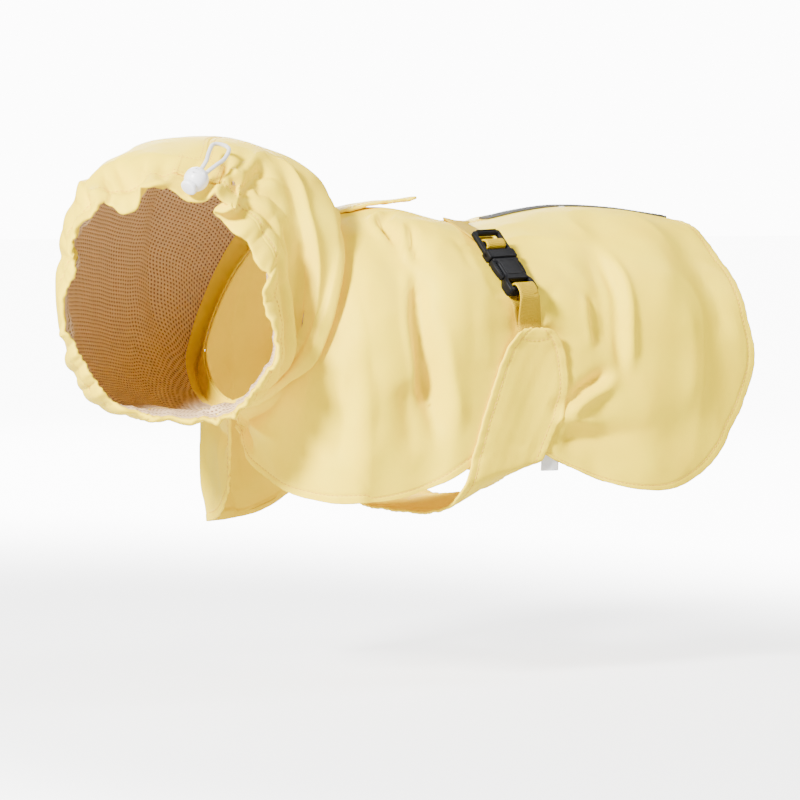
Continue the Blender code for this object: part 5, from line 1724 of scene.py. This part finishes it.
@dataclass
class CordLock:
    """Round cord lock by the patch, its button and the loop of elastic."""

    hood: Hood
    finishes: Finishes
    at: float = 0.05
    radius: float = 7.6
    button: float = 3.6
    button_long: float = 6.5
    cord: float = 1.3
    apart: float = 2.3
    floor: float = 3.0
    aim: tuple[float, float, float] = (4.2, 0.12, 11.0)
    loop: tuple[tuple[float, float, float], ...] = (
        (2.0, 0.120, 11.6), (1.8, 0.155, 10.6), (1.8, 0.190, 9.8), (2.0, 0.215, 9.2),
        (2.5, 0.2275, 8.9), (3.85, 0.2367, 8.7), (5.7, 0.240, 8.6), (7.55, 0.2367, 8.6),
        (8.9, 0.2275, 8.7), (9.4, 0.215, 8.8), (9.3, 0.190, 9.1), (8.5, 0.155, 9.8),
        (6.7, 0.120, 10.6))

    def build(self) -> None:
        """Loop first, then the lock that it runs into."""
        gap = self.hood.form.gap
        seat = self.hood.above(0.0, self.at, 2 * gap + self.radius)
        out = (seat - self.hood.above(0.0, self.at, 0.0)).normalized()
        rise = (self.hood.above(*self.aim) - seat).normalized()
        across = rise.cross(out).normalized()
        turn = Matrix((across.cross(rise), across, rise)).transposed()
        frame = turn.to_4x4()
        frame.translation = seat * MM
        ends = [[seat + turn @ Vector((0, apart, z)) for z in (self.floor + gap,
                                                              self.radius + 1.5)]
                for apart in (-self.apart, self.apart)]
        keys = ends[0] + [self.hood.above(*row) for row in self.loop] + ends[1][::-1]
        elastic = self.elastic(np.array([tuple(k) for k in keys]))
        lock = self.lock(frame)
        button = self.knob(frame, gap)
        for piece, slot, node in ((elastic, "elastic", "elastic_loop"),
                                  (lock, "lock", "cord_lock"),
                                  (button, "lock", "cord_lock_button")):
            settle(piece, slot, node)

    def elastic(self, keys: Array) -> Piece:
        """Round elastic along a route."""
        run = run_of(keys)
        line = smooth(run, keys, np.linspace(0, run[-1], 90))
        run = run_of(line)
        ahead = unit(np.gradient(line, axis=0))
        guide = unit(np.cross(ahead, np.array((0.3, -0.2, 1.0))))
        turns = np.arange(16) * 2 * math.pi / 16
        ring = (guide[:, None] * np.cos(turns)[None, :, None]
                + np.cross(ahead, guide)[:, None] * np.sin(turns)[None, :, None])
        grid = line[:, None] + ring * self.cord
        index = numbered(grid)
        faces = panes(numbered(grid, 0, 1)).tolist()
        u = np.minimum(turns, 2 * math.pi - turns) / math.pi
        where = np.stack(np.broadcast_arrays(u[None], run[:, None] * MM), -1).reshape(-1, 2)
        made = mesh_piece("elastic_loop_cord", grid.reshape(-1, 3),
                          faces + [index[0][::-1].tolist(), index[-1].tolist()],
                          [self.finishes.elastic], where)
        return made

    def lathe(self, name: str, profile: Outline, frame: Matrix, sides: int = 48) -> Piece:
        """Round piece turned about the frame's Z, poles closed."""
        turns = np.arange(sides) * 2 * math.pi / sides
        inner = [p for p in profile if p[0] > 0]
        points = [(0, 0, profile[0][1])]
        points += [(r * math.cos(t), r * math.sin(t), z) for r, z in inner for t in turns]
        points.append((0, 0, profile[-1][1]))
        placed = np.array([tuple(frame.to_3x3() @ Vector(p) + frame.translation / MM)
                           for p in points])
        last = len(points) - 1
        faces = [(0, 1 + k, 1 + (k + 1) % sides) for k in range(sides)]
        for a in range(1, last - sides, sides):
            faces += [(a + k, a + sides + k, a + sides + (k + 1) % sides, a + (k + 1) % sides)
                      for k in range(sides)]
        faces += [(last, last - sides + k, last - sides + (k + 1) % sides)
                  for k in range(sides)]
        return mesh_piece(name, placed, faces, [self.finishes.white])

    def lock(self, frame: Matrix) -> Piece:
        """Ball with a mouth, a bore and two small slots on its face."""
        turns = [math.pi * k / 30 for k in range(31)]
        ball = [(self.radius * math.sin(t) if 0 < k < 30 else 0, -self.radius * math.cos(t))
                for k, t in enumerate(turns)]
        made = self.lathe("cord_lock_body", ball, frame)
        bore, room = self.button + 0.3, self.cord + 0.5
        white, reach = self.finishes.white, self.apart + room
        side = frame @ Matrix.Rotation(math.radians(90), 4, "Y")
        cutters = [self.lathe("bore", [(0, -12), (bore, -12), (bore, -3), (0, -3)], frame),
                   moulded("mouth", [box(-room, room, -reach, reach, 1.7)], 12.0,
                           self.floor + 6.0, 0.01, frame, white)]
        cutters += [moulded("slot", [box(low - 0.5, low + 0.5, -1.7, 1.7, 0.45)], 3.0,
                            self.radius, 0.01, side, white) for low in (-1.7, 1.7)]
        for cutter in cutters:
            modifier = made.modifiers.new("cut", "BOOLEAN")
            modifier.operation, modifier.solver, modifier.object = "DIFFERENCE", "EXACT", cutter
        bevel = made.modifiers.new("soft", "BEVEL")
        bevel.width, bevel.segments, bevel.angle_limit = 0.00025, 2, SHARP
        mesh = plain_mesh(made, *cutters)
        mesh.shade_smooth()
        mesh.set_sharp_from_angle(angle=SHARP)
        return linked("cord_lock_body", mesh)

    def knob(self, frame: Matrix, gap: float) -> Piece:
        """Button below the ball."""
        top = -3.0 - gap
        low, r = top - self.button_long, self.button
        cap = r + 1.7
        profile = [(0, low), (cap - 1.4, low), (cap - 0.6, low + 0.2), (cap - 0.15, low + 0.6),
                   (cap, low + 1.3), (cap, low + 2.6), (cap - 0.4, low + 3.2), (r, low + 3.4),
                   (r, top), (0, top)]
        return self.lathe("cord_lock_knob", profile, frame)


@dataclass
class CareLabel:
    """Plain label inside the near rear hem."""

    cape: Cape
    finishes: Finishes
    station: float = 128.0
    half: float = 6.0
    top: float = -149.0
    low: float = -168.0
    wall: float = 0.5

    def build(self) -> None:
        """Small tape that hangs below the hem, a little curled."""
        rows = []
        for z in np.linspace(self.top, self.low, 22):
            share = (self.top - z) / (self.top - self.low)
            inside = self.cape.wall + 1.1 + 1.2 * share ** 2
            rows.append([self.cape.at_height(s, z, NEAR,
                                             0.5 * math.sin(s * 0.5) * share - inside)
                         for s in np.linspace(self.station + self.half,
                                              self.station - self.half, 14)])
        grid = np.array(rows)
        made = cloth("care_label_tape", grid, self.wall, [self.finishes.label],
                     edge=Edge.LEFT)
        settle_sheet(made, "label", grid)


@dataclass
class Studio:
    """Pale floor, lights, backdrop and the camera."""

    floor_z: float = -0.308
    eye: tuple[float, float, float] = (-1.15149, -2.10952, 0.00033)
    target: tuple[float, float, float] = (0.01046, -0.01331, -0.12528)
    lens: float = 166.14
    backdrop: float = 11.7
    ambient: float = 0.30
    lights: tuple[tuple[str, tuple[float, float, float], float, float], ...] = (
        ("key_light", (-2.05, -0.95, 1.15), 0.4, 285.0),
        ("side_light", (1.6, -0.8, 1.6), 0.8, 60.0),
        ("back_light", (0.9, 2.4, 1.0), 1.2, 75.0))

    def aimed(self, name: str, data: bpy.types.ID, place: Sequence[float],
              target: Sequence[float]) -> Piece:
        """Camera or light that looks at a target."""
        made = linked(name, data)
        made.location = place
        way = Vector(target) - Vector(place)
        made.rotation_euler = way.to_track_quat("-Z", "Y").to_euler()
        return made

    def camera(self) -> None:
        """Camera that looks at the middle of the coat."""
        data = bpy.data.cameras.new("camera")
        data.lens, data.sensor_width, data.clip_end = self.lens, 36.0, 100.0
        bpy.context.scene.camera = self.aimed("camera", data, self.eye, self.target)

    def build(self) -> None:
        """Floor, lights and background."""
        mesh, z, far = bpy.data.meshes.new("floor"), self.floor_z, 30
        mesh.from_pydata([(-far, -far, z), (far, -far, z), (far, far, z), (-far, far, z)], [],
                         [(0, 1, 2, 3)])
        mesh.materials.append(Paper().build())
        linked("floor", mesh)
        for name, place, size, power in self.lights:
            data = bpy.data.lights.new(name, "AREA")
            data.size, data.energy = size, power
            self.aimed(name, data, place, (0.0, 0.0, -0.08))
        world = bpy.data.worlds.new("studio")
        world.use_nodes = True
        n = Nodes(world.node_tree)
        glow = n.math("MULTIPLY_ADD", n.camera_ray(), self.backdrop, self.ambient)
        n.fill(n.tree.nodes["Background"], Color=(1, 1, 1, 1), Strength=glow)
        bpy.context.scene.world = world


def main() -> None:
    """Build every sub-assembly in order."""
    logging.basicConfig(level=logging.INFO, format="%(name)s: %(message)s")
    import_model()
    studio, finishes, form = Studio(), Finishes(), CoatForm()
    studio.camera()
    hood = Hood(form, finishes)
    CordLock(Hood(form, finishes, ruffle=2.3, brim_hold=(0.0,) * 6), finishes).build()
    cape = Cape(form, finishes)
    cape.build()
    hood.build()
    LeashFlap(form, finishes).build()
    BackStrip(cape, finishes).build()
    BellyBand(cape, finishes).build()
    Strap(cape, finishes).build()
    CareLabel(cape, finishes).build()
    studio.build()


if __name__ == "__main__":
    main()
